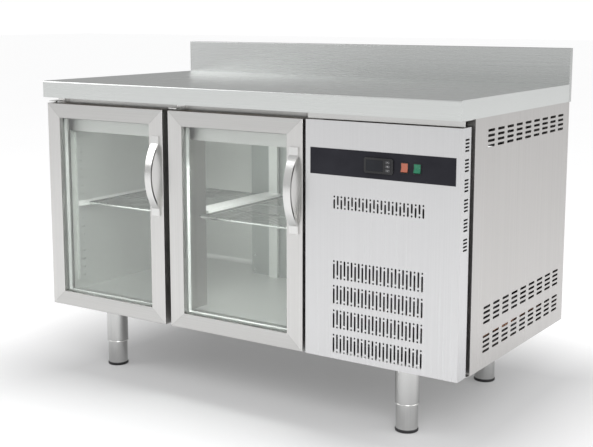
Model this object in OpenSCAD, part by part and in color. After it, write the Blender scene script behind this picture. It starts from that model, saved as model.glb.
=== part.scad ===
// Two-door undercounter refrigerator: a stainless steel counter on four levelling legs.
// X runs along the front from left to right, Y from the front to the back, and Z up.
// The origin is on the floor, under the middle of the whole object. All sizes are in mm.

/* [Overall] */
// Width of the counter and its worktop
counter_w = 1345; // [1180:1:1700]
// Depth from the worktop's front edge to the back of the splashback
counter_d = 700; // [620:1:850]
// Height of the work surface above the floor
counter_h = 850; // [800:1:1020]
// Clear height between the floor and the cabinet
leg_h = 180; // [150:1:220]
// Thickness of the stainless sheet
sheet = 1.5; // [1:0.1:2]
// Gap kept between the separate pieces of one group
piece_gap = 0.2; // [0.1:0.05:0.5]

/* [Worktop] */
// Height of the worktop's folded edge
edge_h = 48; // [40:1:60]
// How far the worktop stands out in front of the doors
front_overhang = 12; // [5:1:25]
// How far the splashback stands out behind the cabinet
rear_overhang = 12; // [5:1:20]
// Thickness of the board glued under the worktop's skin
core_t = 18; // [15:1:20]
// Height of the splashback above the work surface
splash_h = 100; // [60:1:150]
// Thickness of the splashback
splash_t = 18; // [15:1:25]
// Radius of the worktop's rounded front edge
edge_r = 4; // [2:0.5:6]

/* [Cabinet walls] */
// Thickness of the left wall
wall_w = 45; // [40:1:60]
// Thickness of the wall between the cold room and the machine room
divider_w = 51; // [40:1:60]
// Thickness of the floor
floor_t = 35; // [30:1:50]
// Thickness of the back wall
back_t = 36; // [30:1:50]
// Thickness of the ceiling, up to the worktop's board
ceiling_t = 75; // [60:1:90]
// Height of the lintel's face below the worktop's edge
lintel_h = 100; // [80:1:120]
// Depth of the lintel
lintel_d = 50; // [40:1:60]
// Depth of the sill's flat top
sill_d = 30; // [20:1:40]
// Depth of the post between the doors
mullion_d = 90; // [60:1:100]
// How far the machine room's side panel starts behind the cabinet's face
side_recess = 12; // [5:1:20]
// Width of the side panel's folded front edge in the machine room
side_fold = 20; // [12:1:25]
// Width of the fold that the back panel is screwed to
rear_fold = 16; // [14:1:25]

/* [Doors] */
// Gap between a door or panel and the end of the counter
end_gap = 3; // [2:0.5:6]
// Gap between the two doors
door_gap = 20; // [18:1:30]
// Gap between the right door and the service panel
panel_gap = 10; // [6:1:15]
// Gap between the doors and the worktop's edge
top_gap = 17; // [14:1:25]
// Thickness of a door without its seal
door_t = 40; // [36:1:50]
// Thickness of the sheet that the door frame's bars are folded from
door_skin = 1.5; // [1:0.1:2]
// Thickness of the closed seal
seal_t = 10; // [8:0.5:12]
// Width of the seal
seal_w = 10; // [8:1:12]
// Distance from a door's edge to the seal, and from its side to the hinge pin
seal_inset = 10; // [9:1:14]
// Width of a door's upright frame bars
stile_w = 48; // [42:1:60]
// Height of a door's level frame bars
rail_h = 42; // [36:1:60]
// Width of the chamfer round a door's front
door_chamfer = 1; // [0.5:0.1:2]
// Distance from a door's front to the outer pane
glass_set = 14; // [8:1:16]
// Thickness of one pane
pane_t = 4; // [3:0.5:5]
// Space between the two panes
pane_space = 12; // [8:1:16]
// How far the panes sit inside the frame bars
pane_lap = 10; // [8:1:14]
// Width of the spacer between the panes
spacer_w = 13; // [12:1:18]
// Distance from a door's front to the hinge pin's axis
pin_set = 24; // [18:1:26]
// Diameter of a hinge pin
pin_d = 8; // [6:0.5:10]
// Length of a hinge pin inside the door
pin_l = 22; // [15:1:30]
// Radial clearance of a running fit
run_fit = 0.05; // [0.01:0.01:0.1]

/* [Handles] */
// Length of a handle
handle_l = 222; // [160:1:280]
// How far a handle stands out of its door
handle_reach = 36; // [30:1:45]
// Height of a handle's middle above the bottom of its door
handle_mid = 420; // [300:1:460]
// Width of a handle at its ends
handle_w = 28; // [20:1:34]
// Width of a handle at its middle
handle_waist = 22; // [16:1:28]
// Thickness of a handle's strap
handle_t = 5; // [3:0.5:7]
// Length of a handle's flat foot
handle_foot = 14; // [10:1:20]

/* [Service panel] */
// Width of the panel in front of the machine room
panel_w = 429; // [420:1:520]
// Depth of the panel's folded sides
panel_d = 46; // [35:1:46]
// Width of the black control strip
fascia_w = 400; // [380:1:410]
// Height of the black control strip
fascia_h = 66; // [55:1:80]
// Thickness of the black control strip
fascia_t = 1.2; // [0.8:0.1:2]
// Distance from the panel's top to the middle of the control strip
fascia_drop = 102; // [80:1:130]
// Number of columns in a grille band
grille_columns = 25; // [15:2:29]
// Distance between two columns of a grille band
grille_pitch = 10.3; // [9:0.1:12]
// Width of a grille slot
grille_slot = 5; // [4:0.5:6]
// Height of the small grille band
small_band_h = 33; // [28:1:40]
// Height of a large grille band
large_band_h = 48; // [40:1:56]
// Distance between two large grille bands
band_pitch = 63.5; // [60:0.5:70]
// Height of the lowest grille band above the panel's bottom edge
band_low = 16; // [12:1:30]
// Distance from the panel's top to the top of the small grille band
small_band_drop = 186; // [150:1:240]

/* [Side grille] */
// Number of slot columns in the side panel
side_columns = 9; // [5:1:9]
// Distance between two slot columns
side_pitch = 57.4; // [50:0.1:60]
// Length of a side slot
side_slot_l = 40; // [25:1:45]
// Height of a side slot
side_slot_w = 6.5; // [4:0.5:8]
// Distance between two slot rows in one group
side_row_pitch = 12.5; // [11:0.5:16]
// Distance from the doors' front to the first slot
side_first = 134; // [100:1:150]

/* [Legs] */
// Diameter of the fixed upper leg
sleeve_d = 62; // [50:1:70]
// Diameter of the screwed lower leg
foot_d = 57; // [40:1:60]
// Height of the fixed upper leg's lower end above the floor
sleeve_low = 72; // [60:1:90]
// Thickness of the foot's plastic pad
pad_t = 8; // [5:1:12]
// Distance from the counter's ends to the legs
leg_inset = 180; // [120:1:220]
// Distance from the cabinet's face to the front legs
leg_front = 35; // [35:1:60]
// Distance from the cabinet's face to the rear legs
leg_rear = 508; // [430:1:510]

/* [Shelves] */
// Height of the shelves above the floor
shelf_z = 478; // [380:1:560]
// Depth of the shelves
shelf_d = 412; // [330:1:420]
// Height of the shelves' frame bars
frame_wire = 7; // [5:0.5:8]
// Diameter of the shelves' thin wires
thin_wire = 3.5; // [2.5:0.5:4.5]
// Largest distance between two thin wires
wire_pitch = 24; // [18:1:40]

/* [Cooling] */
// Width of the evaporator's housing at the back of the cold room
housing_w = 160; // [150:1:200]
// Depth of the evaporator's housing
housing_d = 110; // [105:1:130]
// Diameter of the evaporator's fan
small_fan_d = 92; // [70:1:94]
// Diameter of the condenser's fan
large_fan_d = 216; // [160:1:230]
// Diameter of the compressor's shell
compressor_d = 170; // [140:1:175]
// Diameter of the copper pipes
pipe_d = 9; // [6:1:12]

/* [Hidden] */
$fn = 48;

steel = [0.78, 0.78, 0.77];
bright = [0.86, 0.86, 0.85];
foam = [0.93, 0.88, 0.70];
black = [0.10, 0.10, 0.12];
copper = [0.76, 0.45, 0.30];

cut = 1;                 // how far a cutter runs past the face that it cuts
weld = 0.5;              // how far two shapes of one solid run into each other
clear = 0.5;             // gap round a piece that drops into a cut-out
arc_steps = 8;           // straight steps in a small rounded corner
slot_steps = 6;          // straight steps round one end of a vent slot

// The counter's ends, front, back and levels
left_x = -counter_w / 2;
right_x = counter_w / 2;
back_y = (counter_d - front_overhang + handle_reach) / 2;
top_y = back_y - counter_d;
door_y = top_y + front_overhang;
case_y = door_y + door_t + seal_t;
case_back = back_y - rear_overhang;
side_back = case_back - sheet;
case_z = counter_h - edge_h;
core_z = counter_h - sheet - core_t;

// The doors and the service panel
door_w = (counter_w - 2 * end_gap - door_gap - panel_gap - panel_w) / 2;
door_z = leg_h + 1;
door_h = case_z - top_gap - door_z;
door_step = door_w + door_gap;
function door_x(side) = left_x + end_gap + side * door_step;
panel_x = right_x - end_gap - panel_w;
seal_reach = seal_inset + seal_w + 1;

// The cold room's inner faces
room_x0 = left_x + wall_w;
room_x1 = door_x(1) + door_w - seal_reach;
room_y1 = case_back - back_t;
room_z0 = leg_h + floor_t;
room_z1 = core_z - ceiling_t;
lintel_z = case_z - lintel_h;
mullion_x0 = door_x(0) + door_w - seal_reach;
mullion_x1 = door_x(1) + seal_reach;
mullion_x = (mullion_x0 + mullion_x1) / 2;
liner_y = case_y + sheet;
ceiling_y = case_y + lintel_d;

// The machine room
machine_x0 = room_x1 + divider_w;
machine_x1 = right_x - sheet;
machine_z = leg_h + sheet;
header_y = door_y + 10;
header_z = door_z + door_h + 2;

// Slots and screws in the side and back panels
side_row_tops = [case_z - 33, leg_h + 153, leg_h + 80];
back_vent_columns = 6;
back_vent_rows = 10;
back_vent_x = machine_x0 + 80;
back_vent_z = leg_h + 300;
back_vent_step = 50;
back_vent_row = 20;
back_screw_inset = 60;

// Slots of the service panel
grille_rest = 4;
grille_shift = 6;
fold_groups = 6;
fold_first = 28;
fold_step = 47;
fold_row = 8.5;
fold_slot_l = 22;
fold_slot_w = 4.5;

// The control strip, measured from its own left end
fascia_x = panel_x + panel_w / 2 - fascia_w / 2;
fascia_z = door_z + door_h - fascia_drop;
fascia_y = door_y - fascia_t;
controller_x = fascia_x + 197;
rocker_x = [fascia_x + 267, fascia_x + 301];
controller_w = 80;
controller_h = 38;
controller_front = 4;
controller_body_w = 74;
controller_body_h = 32;
controller_body_d = 58;
controller_r = 6;
window_w = 46;
window_h = 27;
window_t = 1.5;
window_shift = -11;
key_w = 13;
key_h = 7.5;
key_pitch = 9.8;
key_shift = 26;
key_proud = 1;
key_t = 3.2;
key_gap = 0.25;
key_room = 0.9;
rocker_w = 17;
rocker_h = 21;
rocker_gap = 0.4;
rocker_swing = 1.2;
bezel_w = 21;
bezel_h = 27;
bezel_t = 2;
bezel_rim = 1;
rocker_body_d = 26;
rocker_well = 12;
rocker_tilt = 8;
rocker_pivot = 3;
rocker_front = 7;
rocker_waist = 4.5;
rocker_back = 5;
trunnion_d = 3;
trunnion_l = 0.8;

// Door and hinge details
pin_end = 1;
boss_wall = 3;
seal_gap = 0.4;
bracket_t = 3;
bracket_gap = 3;
bracket_w = 28;
bracket_up = 8;
bracket_under = 40;

// Legs
foot_top = leg_h - 32;
foot_wall = 3;
foot_floor = 6;
pad_rim = 1.5;
plate_t = 5;
plate_w = 70;
bolt_at = 27;
bolt_d = 8;
bolt_head_w = 5;
bolt_head_t = 5;
leg_x = [left_x + leg_inset, right_x - leg_inset];
leg_y = [case_y + leg_front, case_y + leg_rear];

// Shelf runners and racks
rack_w = 32;
rack_d = 9;
rack_y = [door_y + 66, door_y + 500];
rack_slot_pitch = 25;
rack_slot_w = 14;
rack_slot_h = 4;
rack_low = 30;
rack_high = 60;
post_d = 12;
post_y0 = case_y + mullion_d + 2;
post_y1 = room_y1 - housing_d - 2 - post_d;
runner_h = 14;
runner_t = 1.5;
runner_ledge = 13;
rail_half = (mullion_x1 - mullion_x0) / 2 - 2;
ledge_z = shelf_z - frame_wire / 2;
shelf_y0 = door_y + 98;
shelf_gap = 2;

// Evaporator
housing_x0 = mullion_x - 12 - housing_w / 2;
housing_x1 = housing_x0 + housing_w;
housing_y = room_y1 - housing_d;
small_fan_x = housing_x1 - 37;
small_fan_y = housing_y + housing_d / 2 + sheet / 2;
small_fan_z = room_z1 - 75;
small_hub_d = 30;
small_hub_t = 18;
small_shaft_d = 5;
small_shaft_l = 12;
screw_inset = 12;
housing_screw_z = [room_z0 + 14, room_z0 + 60, room_z1 - 60, room_z1 - 14];
inlet_rows = 12;
inlet_low = 60;
inlet_step = 20;
inlet_l = 70;
inlet_w = 6;
light_inset = 60;
light_w = 24;
light_t = 16;

// Condensing unit
tray_z = machine_z + 18;
coil_x0 = machine_x0 + 30;
coil_x1 = machine_x0 + 340;
coil_y = door_y + 91;
coil_d = 50;
coil_z1 = tray_z + 270;
shroud_y = coil_y + coil_d + 3;
shroud_t = 3;
shroud_d = 30;
ring_d = large_fan_d + 12;
large_fan_x = (coil_x0 + coil_x1) / 2;
large_fan_z = (tray_z + coil_z1) / 2;
large_hub_d = 60;
large_shaft_d = 8;
large_shaft_l = 16;
large_fan_y = shroud_y + 12;
blade_t = 2;
fan_blades = 5;
hub_t = 24;
motor_y = large_fan_y + hub_t + 3;
compressor_x = machine_x0 + 140;
compressor_y = door_y + 516;
compressor_z = tray_z + 22;
compressor_h = 152;
compressor_foot_t = 4;
dome_h = 34;
seam_z = 74;
seam_t = 6;
seam_out = 6;
terminal_w = 64;
terminal_h = 52;
terminal_out = 24;
mount_dx = 74;
mount_dy = 62;
mount_edge = 17;
mount_neck_d = 13;
mount_bore = 6;
ebox_w = 70;
ebox_d = 180;
ebox_h = 170;
ebox_lip = 4;
pan_h = 46;
pan_wall = 2;
elbow_d = pipe_d + 4;
drier_l = 110;
drier_d = 24;
pipe_x = coil_x1 + 24;
gland_x = machine_x0 + 290;
gland_z = leg_h + 120;
gland_d = 20;
gland_bore = 9;
gland_in = 14;
gland_out = 8;
gland_flange_t = 6;
gland_nut_t = 8;
screw_d = 4;
screw_l = 7;
screw_head_d = 8;
screw_head_t = 2.2;

// A box between two corners
module block(lo, hi) {
    translate(lo) cube([hi[0] - lo[0], hi[1] - lo[1], hi[2] - lo[2]]);
}

// Outlines drawn in the XZ plane, filled from y0 to y1
module plate_xz(y0, y1) {
    translate([0, y1, 0]) rotate([90, 0, 0]) linear_extrude(y1 - y0) children();
}

// Outlines drawn in the YZ plane, filled from x0 to x1
module plate_yz(x0, x1) {
    translate([x0, 0, 0]) rotate([90, 0, 90]) linear_extrude(x1 - x0) children();
}

// Outlines drawn in the XY plane, filled from z0 to z1
module plate_xy(z0, z1) {
    translate([0, 0, z0]) linear_extrude(z1 - z0) children();
}

// A round bar from one point along +X, +Y or +Z
module bar_x(at, l, d) {
    translate(at) rotate([0, 90, 0]) cylinder(h = l, d = d);
}
module bar_y(at, l, d) {
    translate(at) rotate([-90, 0, 0]) cylinder(h = l, d = d);
}
module bar_z(at, l, d) {
    translate(at) cylinder(h = l, d = d);
}

// A slot with round ends, level or upright
function slot_end(l, w, i) =
    [(l - w) / 2 + w / 2 * sin(180 * i / slot_steps), w / 2 * cos(180 * i / slot_steps)];
function slot_points(l, w) = concat(
    [for (i = [0:slot_steps]) slot_end(l, w, i)], [for (i = [0:slot_steps]) -slot_end(l, w, i)]);
function upright(points) = [for (p = points) [p[1], p[0]]];

// A rectangle with rounded corners, centred
function round_corner(cx, cy, r, from) =
    [for (i = [0:arc_steps])
        [cx + r * cos(from + 90 * i / arc_steps), cy + r * sin(from + 90 * i / arc_steps)]];
function round_rect(w, h, r) = concat(
    round_corner(w / 2 - r, h / 2 - r, r, 0), round_corner(r - w / 2, h / 2 - r, r, 90),
    round_corner(r - w / 2, r - h / 2, r, 180), round_corner(w / 2 - r, r - h / 2, r, 270));

// Cabinet ------------------------------------------------------------------

module back_screw_places() {
    span = case_z - leg_h - 2 * back_screw_inset;
    for (x = [left_x + rear_fold / 2 + sheet, right_x - rear_fold / 2 - sheet])
        for (k = [0:3])
            translate([x, 0, leg_h + back_screw_inset + k * span / 3]) children();
}

module back_screw_holes(y0, y1) {
    back_screw_places() bar_y([0, y0, 0], y1 - y0, screw_d + 2 * piece_gap);
}

module side_panel_left() {
    color(steel) difference() {
        plate_xy(leg_h, case_z) union() {
            translate([left_x, case_y]) square([sheet, side_back - case_y]);
            translate([left_x, case_y]) square([wall_w - piece_gap, sheet]);
            translate([left_x, side_back - sheet]) square([rear_fold, sheet]);
        }
        back_screw_holes(side_back - sheet - cut, side_back + cut);
    }
}

module side_slots(rows_top) {
    for (c = [0:side_columns - 1])
        for (r = [0:3])
            translate([door_y + side_first + side_slot_l / 2 + c * side_pitch, rows_top - r * side_row_pitch])
                polygon(slot_points(side_slot_l, side_slot_w));
}

module side_panel_right() {
    front = case_y + side_recess;
    color(steel) difference() {
        union() {
            plate_xy(leg_h, case_z) {
                translate([machine_x1, front]) square([sheet, side_back - front]);
                translate([right_x - rear_fold, side_back - sheet]) square([rear_fold, sheet]);
            }
            // The front fold stands on the base sheet
            plate_xy(machine_z + piece_gap, case_z)
                translate([right_x - side_fold, front]) square([side_fold, sheet]);
        }
        plate_yz(machine_x1 - cut, right_x + cut)
            for (z = side_row_tops) side_slots(z);
        back_screw_holes(side_back - sheet - cut, side_back + cut);
    }
}

module back_panel() {
    color(steel) difference() {
        block([left_x, side_back, leg_h], [right_x, case_back, case_z]);
        plate_xz(side_back - cut, case_back + cut)
            for (c = [0:back_vent_columns - 1])
                for (r = [0:back_vent_rows - 1])
                    translate([back_vent_x + c * back_vent_step, back_vent_z + r * back_vent_row])
                        polygon(slot_points(side_slot_l, side_slot_w));
        bar_y([gland_x, side_back - cut, gland_z], sheet + 2 * cut, gland_d + 2 * piece_gap);
        back_screw_holes(side_back - cut, case_back + cut);
    }
}

module leg_bolt_holes(z0, z1, d) {
    for (x = leg_x)
        for (y = leg_y)
            for (dx = [-bolt_at, bolt_at])
                for (dy = [-bolt_at, bolt_at])
                    bar_z([x + dx, y + dy, z0], z1 - z0, d);
}

module base_panel() {
    color(steel) difference() {
        block([left_x + sheet + piece_gap, case_y + sheet, leg_h],
              [machine_x1 - piece_gap, side_back - sheet - piece_gap, leg_h + sheet]);
        leg_bolt_holes(leg_h - cut, leg_h + sheet + cut, bolt_d + 2 * piece_gap);
    }
}

module insulation_slabs() {
    low = leg_h + sheet;
    slab_back = side_back - sheet;
    color(foam) {
        block([left_x + sheet, case_y + sheet, low], [room_x0 - sheet, slab_back, case_z]);
        block([room_x1 + sheet, case_y + sheet, low], [machine_x0 - sheet, slab_back, case_z]);
        block([room_x0 - sheet + piece_gap, room_y1 + sheet, low],
              [room_x1 + sheet - piece_gap, slab_back, case_z]);
        block([room_x0 - sheet + piece_gap, case_y + sheet + piece_gap, low],
              [room_x1 + sheet - piece_gap, room_y1 + sheet - piece_gap, room_z0 - sheet]);
        block([room_x0 - sheet + piece_gap, ceiling_y + piece_gap, room_z1 + sheet],
              [room_x1 + sheet - piece_gap, room_y1 + sheet - piece_gap, core_z]);
    }
}

module liner_panels() {
    z0 = room_z0 - sheet;
    z1 = room_z1 + sheet;
    color(bright) {
        block([room_x0 - sheet, liner_y, z0], [room_x0, room_y1 - piece_gap, z1]);
        block([room_x1, liner_y, z0], [room_x1 + sheet, room_y1 - piece_gap, z1]);
        block([room_x0 - sheet, room_y1, z0], [room_x1 + sheet, room_y1 + sheet, z1]);
        block([room_x0 + piece_gap, case_y + sill_d + piece_gap, z0],
              [room_x1 - piece_gap, room_y1 - piece_gap, room_z0]);
        block([room_x0 + piece_gap, ceiling_y + piece_gap, room_z1],
              [room_x1 - piece_gap, room_y1 - piece_gap, z1]);
    }
}

module lintels() {
    inner = ceiling_y - sheet;
    color(steel) {
        plate_yz(room_x0 + piece_gap, room_x1 - piece_gap) polygon([
            [case_y, core_z], [case_y, lintel_z], [ceiling_y, lintel_z], [ceiling_y, room_z1],
            [inner, room_z1], [inner, lintel_z + sheet], [case_y + sheet, lintel_z + sheet],
            [case_y + sheet, core_z]]);
        // The header closes the gap above the service panel
        plate_yz(panel_x, right_x - sheet - piece_gap) polygon([
            [header_y, header_z], [header_y, case_z], [case_y - piece_gap, case_z],
            [case_y - piece_gap, case_z - sheet], [header_y + sheet, case_z - sheet],
            [header_y + sheet, header_z]]);
    }
}

module sill() {
    z1 = room_z0;
    color(steel) plate_yz(room_x0 + piece_gap, room_x1 - piece_gap) polygon([
        [case_y, leg_h], [case_y + sheet, leg_h], [case_y + sheet, z1 - sheet],
        [case_y + sill_d, z1 - sheet], [case_y + sill_d, z1], [case_y, z1]]);
}

module mullion() {
    color(steel) plate_xy(room_z0 + piece_gap, lintel_z - piece_gap) difference() {
        translate([mullion_x0, case_y]) square([mullion_x1 - mullion_x0, mullion_d]);
        translate([mullion_x0 + sheet, case_y + sheet])
            square([mullion_x1 - mullion_x0 - 2 * sheet, mullion_d - 2 * sheet]);
    }
}

module divider_panel() {
    color(steel) plate_xy(leg_h + sheet, case_z) union() {
        translate([room_x1 + piece_gap, case_y]) square([divider_w - piece_gap, sheet]);
        translate([machine_x0 - sheet, case_y]) square([sheet, side_back - sheet - case_y]);
    }
}

// Worktop ------------------------------------------------------------------

module worktop() {
    y1 = back_y - splash_t - piece_gap;
    color(bright) difference() {
        plate_yz(left_x, right_x) polygon(concat(
            [[y1, case_z], [y1, counter_h]],
            round_corner_top(top_y, counter_h, edge_r),
            [[top_y, case_z]]));
        block([left_x + sheet, top_y + sheet, case_z - cut],
              [right_x - sheet, y1 - sheet, counter_h - sheet]);
    }
}

// A quarter arc from the top face to the front face
function round_corner_top(y, z, r) =
    [for (i = [0:arc_steps])
        [y + r - r * sin(90 * i / arc_steps), z - r + r * cos(90 * i / arc_steps)]];

module worktop_core() {
    color([0.72, 0.58, 0.40]) block(
        [left_x + sheet + clear, top_y + sheet + edge_r, core_z],
        [right_x - sheet - clear, back_y - splash_t - sheet - piece_gap - clear, counter_h - sheet]);
}

module splashback() {
    y0 = back_y - splash_t;
    z1 = counter_h + splash_h;
    color(bright) difference() {
        plate_yz(left_x, right_x) polygon(concat(
            [[back_y, case_z], [back_y, z1]],
            round_corner_top(y0, z1, edge_r / 2),
            [[y0, case_z]]));
        block([left_x + sheet, y0 + sheet, case_z - cut], [right_x - sheet, back_y - sheet, z1 - sheet]);
    }
}

// Cold room ----------------------------------------------------------------

// A slotted upright standing out of a wall at x, to the right (side 1) or the left (side -1)
module upright_strip(x, y, side) {
    z0 = room_z0 + rack_low;
    z1 = room_z1 - rack_high;
    slots = floor((z1 - z0 - rack_slot_pitch) / rack_slot_pitch);
    face_x = side > 0 ? x + rack_d - sheet : x - rack_d;
    web_x = side > 0 ? x : x - rack_d + sheet / 2;
    plate_yz(face_x, face_x + sheet) difference() {
        translate([y, z0]) square([rack_w, z1 - z0]);
        for (k = [0:slots])
            translate([y + rack_w / 2, z0 + rack_slot_pitch * (k + 0.5)])
                square([rack_slot_w, rack_slot_h], center = true);
    }
    for (edge = [y, y + rack_w - sheet])
        block([web_x, edge, z0], [web_x + rack_d - sheet / 2, edge + sheet, z1]);
}

module rack_uprights() {
    color(steel) {
        for (y = rack_y) {
            upright_strip(room_x0, y, 1);
            upright_strip(room_x1, y, -1);
        }
        // The middle posts stand behind the mullion and in front of the housing
        for (y = [post_y0, post_y1])
            plate_xy(room_z0, room_z1) difference() {
                translate([mullion_x - rack_w / 2, y]) square([rack_w, post_d]);
                translate([mullion_x - rack_w / 2 + sheet, y + sheet])
                    square([rack_w - 2 * sheet, post_d - 2 * sheet]);
            }
    }
}

// One angle section that a shelf's side rests on; side 1 opens to the right
module runner(x, side, y0, y1) {
    lo = side > 0 ? x : x - runner_ledge;
    up = side > 0 ? x : x - runner_t;
    plate_xz(y0, y1) union() {
        translate([lo, ledge_z - runner_t]) square([runner_ledge, runner_t]);
        translate([up, ledge_z - runner_t]) square([runner_t, runner_h]);
    }
}

module shelf_runners() {
    t = runner_t;
    top = ledge_z - t + runner_h;
    out = rail_half + runner_ledge;
    in = rail_half - t;
    color(bright) {
        runner(room_x0 + rack_d, 1, rack_y[0], rack_y[1] + rack_w);
        runner(room_x1 - rack_d, -1, rack_y[0], rack_y[1] + rack_w);
        // The middle rail carries one side of each shelf on its ledges
        plate_xz(post_y0 + post_d + piece_gap, post_y1 - piece_gap) translate([mullion_x, 0]) polygon([
            [-out, ledge_z - t], [-out, ledge_z], [-rail_half, ledge_z], [-rail_half, top],
            [rail_half, top], [rail_half, ledge_z], [out, ledge_z], [out, ledge_z - t],
            [in, ledge_z - t], [in, top - t], [-in, top - t], [-in, ledge_z - t]]);
    }
}

// A shelf between two side faces: a frame of flat bars, with thin wires let into its top
module shelf(x0, x1) {
    y0 = shelf_y0;
    y1 = shelf_y0 + shelf_d;
    w = frame_wire - 2;
    z0 = ledge_z;
    z1 = ledge_z + frame_wire;
    span = x1 - x0 - w;
    wires = floor(span / wire_pitch);
    step = span / (wires + 1);
    for (x = [x0, x1 - w])
        block([x, y0, z0], [x + w, y1, z1]);
    for (y = [y0, y0 + (shelf_d - w) / 3, y0 + (shelf_d - w) * 2 / 3, y1 - w])
        block([x0, y, z0], [x1, y + w, z1]);
    for (k = [1:wires])
        bar_y([x0 + w / 2 + k * step, y0 + 1, z1], shelf_d - 2, thin_wire);
}

module shelf_left() {
    color(bright) shelf(room_x0 + rack_d + runner_t + shelf_gap, mullion_x0 - shelf_gap);
}

module shelf_right() {
    color(bright) shelf(mullion_x1 + shelf_gap, room_x1 - rack_d - runner_t - shelf_gap);
}

module housing_screw_places() {
    for (x = [housing_x0 + screw_inset, housing_x1 - screw_inset])
        for (z = housing_screw_z)
            translate([x, 0, z]) children();
}

module evaporator_housing() {
    z0 = room_z0;
    z1 = room_z1;
    color(steel) difference() {
        plate_xy(z0, z1) difference() {
            translate([housing_x0, housing_y]) square([housing_w, housing_d]);
            translate([housing_x0 + sheet, housing_y + sheet])
                square([housing_w - 2 * sheet, housing_d]);
        }
        // Round outlet for the fan on the right, and inlet slots on the left
        bar_x([housing_x1 - sheet - cut, small_fan_y, small_fan_z], sheet + 2 * cut, small_fan_d + 4);
        plate_yz(housing_x0 - cut, housing_x0 + sheet + cut)
            for (r = [0:inlet_rows - 1])
                translate([housing_y + housing_d / 2, z0 + inlet_low + r * inlet_step])
                    polygon(slot_points(inlet_l, inlet_w));
        housing_screw_places() bar_y([0, housing_y - cut, 0], sheet + 2 * cut, screw_d + 2 * piece_gap);
    }
}

module evaporator_coil() {
    x0 = housing_x0 + 18;
    x1 = housing_x1 - 18;
    y0 = housing_y + 24;
    y1 = room_y1 - 16;
    z0 = room_z0 + 40;
    fins = 22;
    fin_pitch = 11;
    fin_t = 1.5;
    tube_d = 10;
    tube_inset = 19;
    tube_out = 12;
    color([0.75, 0.77, 0.79]) {
        for (k = [0:fins - 1])
            block([x0, y0, z0 + k * fin_pitch], [x1, y1, z0 + k * fin_pitch + fin_t]);
        for (x = [x0 + tube_inset, (x0 + x1) / 2, x1 - tube_inset])
            for (y = [y0 + tube_inset, y1 - tube_inset])
                bar_z([x, y, z0 - tube_out], (fins - 1) * fin_pitch + fin_t + 2 * tube_out, tube_d);
    }
}

// A fan that turns about Z, with its hub's lower face at z = 0
module fan(fan_d, hub_d, hub_h, shaft_d, pitch) {
    chord = fan_d * 0.26;
    root_sink = 2;
    bore_h = hub_h * 0.7;
    difference() {
        union() {
            cylinder(h = hub_h, d = hub_d);
            intersection() {
                cylinder(h = hub_h, d = fan_d, $fn = 96);
                for (k = [0:fan_blades - 1])
                    rotate([0, 0, 360 * k / fan_blades])
                        translate([hub_d / 2 - root_sink, 0, hub_h / 2]) rotate([pitch, 0, 0])
                            translate([0, -chord / 2, -blade_t / 2]) cube([fan_d / 2, chord, blade_t]);
            }
        }
        translate([0, 0, -cut]) cylinder(h = bore_h + cut, d = shaft_d + 2 * run_fit);
    }
}

module evaporator_motor() {
    can_l = 42;
    can_d = 54;
    strap = 18;
    face = small_fan_x - 3;
    color(black) {
        bar_x([face - can_l, small_fan_y, small_fan_z], can_l, can_d);
        bar_x([face - weld, small_fan_y, small_fan_z], small_shaft_l + weld, small_shaft_d);
        block([face - 30, housing_y + sheet, small_fan_z - strap / 2],
              [face - 22, room_y1, small_fan_z + strap / 2]);
    }
}

module evaporator_fan() {
    color([0.85, 0.85, 0.85]) translate([small_fan_x, small_fan_y, small_fan_z]) rotate([0, 90, 0])
        fan(small_fan_d, small_hub_d, small_hub_t, small_shaft_d, 32);
}

module interior_light() {
    r = light_w / 2;
    drop = light_t / 2;
    y = ceiling_y + 6 + r;
    color([0.95, 0.96, 0.94]) plate_yz(room_x0 + light_inset, room_x1 - light_inset) polygon(concat(
        [[y - r, room_z1], [y + r, room_z1]],
        [for (i = [0:2 * arc_steps])
            [y + r * cos(90 * i / arc_steps), room_z1 - drop - drop * sin(90 * i / arc_steps)]]));
}

// Service panel and controls ------------------------------------------------

// One grille band: each column has a dot and a long slot, and they swap ends along the row
module grille_band(z_top, band_h) {
    pitch = grille_pitch;
    dot = grille_slot;
    long = band_h - dot - grille_rest;
    start = panel_x + panel_w / 2 - grille_shift - (grille_columns - 1) / 2 * pitch;
    for (c = [0:grille_columns - 1]) {
        flip = c % 2 == 0;
        dot_z = flip ? z_top - dot / 2 : z_top - band_h + dot / 2;
        long_z = flip ? z_top - band_h + long / 2 : z_top - long / 2;
        translate([start + c * pitch, dot_z]) circle(d = dot, $fn = 16);
        translate([start + c * pitch, long_z]) polygon(upright(slot_points(long, dot)));
    }
}

module control_openings(extra) {
    translate([controller_x, fascia_z])
        square([controller_body_w + extra, controller_body_h + extra], center = true);
    w = bezel_w - 2 * bezel_rim + extra;
    h = bezel_h - 2 * bezel_rim + extra;
    for (x = rocker_x)
        translate([x, fascia_z]) square([w, h], center = true);
}

module service_panel() {
    x1 = panel_x + panel_w;
    z0 = door_z;
    z1 = door_z + door_h;
    color(steel) difference() {
        block([panel_x, door_y, z0], [x1, door_y + panel_d, z1]);
        block([panel_x + sheet, door_y + sheet, z0 + sheet],
              [x1 - sheet, door_y + panel_d + cut, z1 - sheet]);
        plate_xz(door_y - cut, door_y + sheet + cut) {
            grille_band(z1 - small_band_drop, small_band_h);
            for (k = [0:3])
                grille_band(z0 + band_low + large_band_h + k * band_pitch, large_band_h);
            control_openings(2 * clear);
        }
        // Short level slots down the upper half of the right-hand fold
        plate_yz(x1 - sheet - cut, x1 + cut)
            for (g = [0:fold_groups - 1])
                for (r = [0:3])
                    translate([door_y + panel_d / 2 + 3, z1 - fold_first - g * fold_step - r * fold_row])
                        polygon(slot_points(fold_slot_l, fold_slot_w));
    }
}

module control_fascia() {
    color(black) plate_xz(fascia_y, door_y) difference() {
        translate([fascia_x, fascia_z - fascia_h / 2]) square([fascia_w, fascia_h]);
        control_openings(2 * clear);
    }
}

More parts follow.
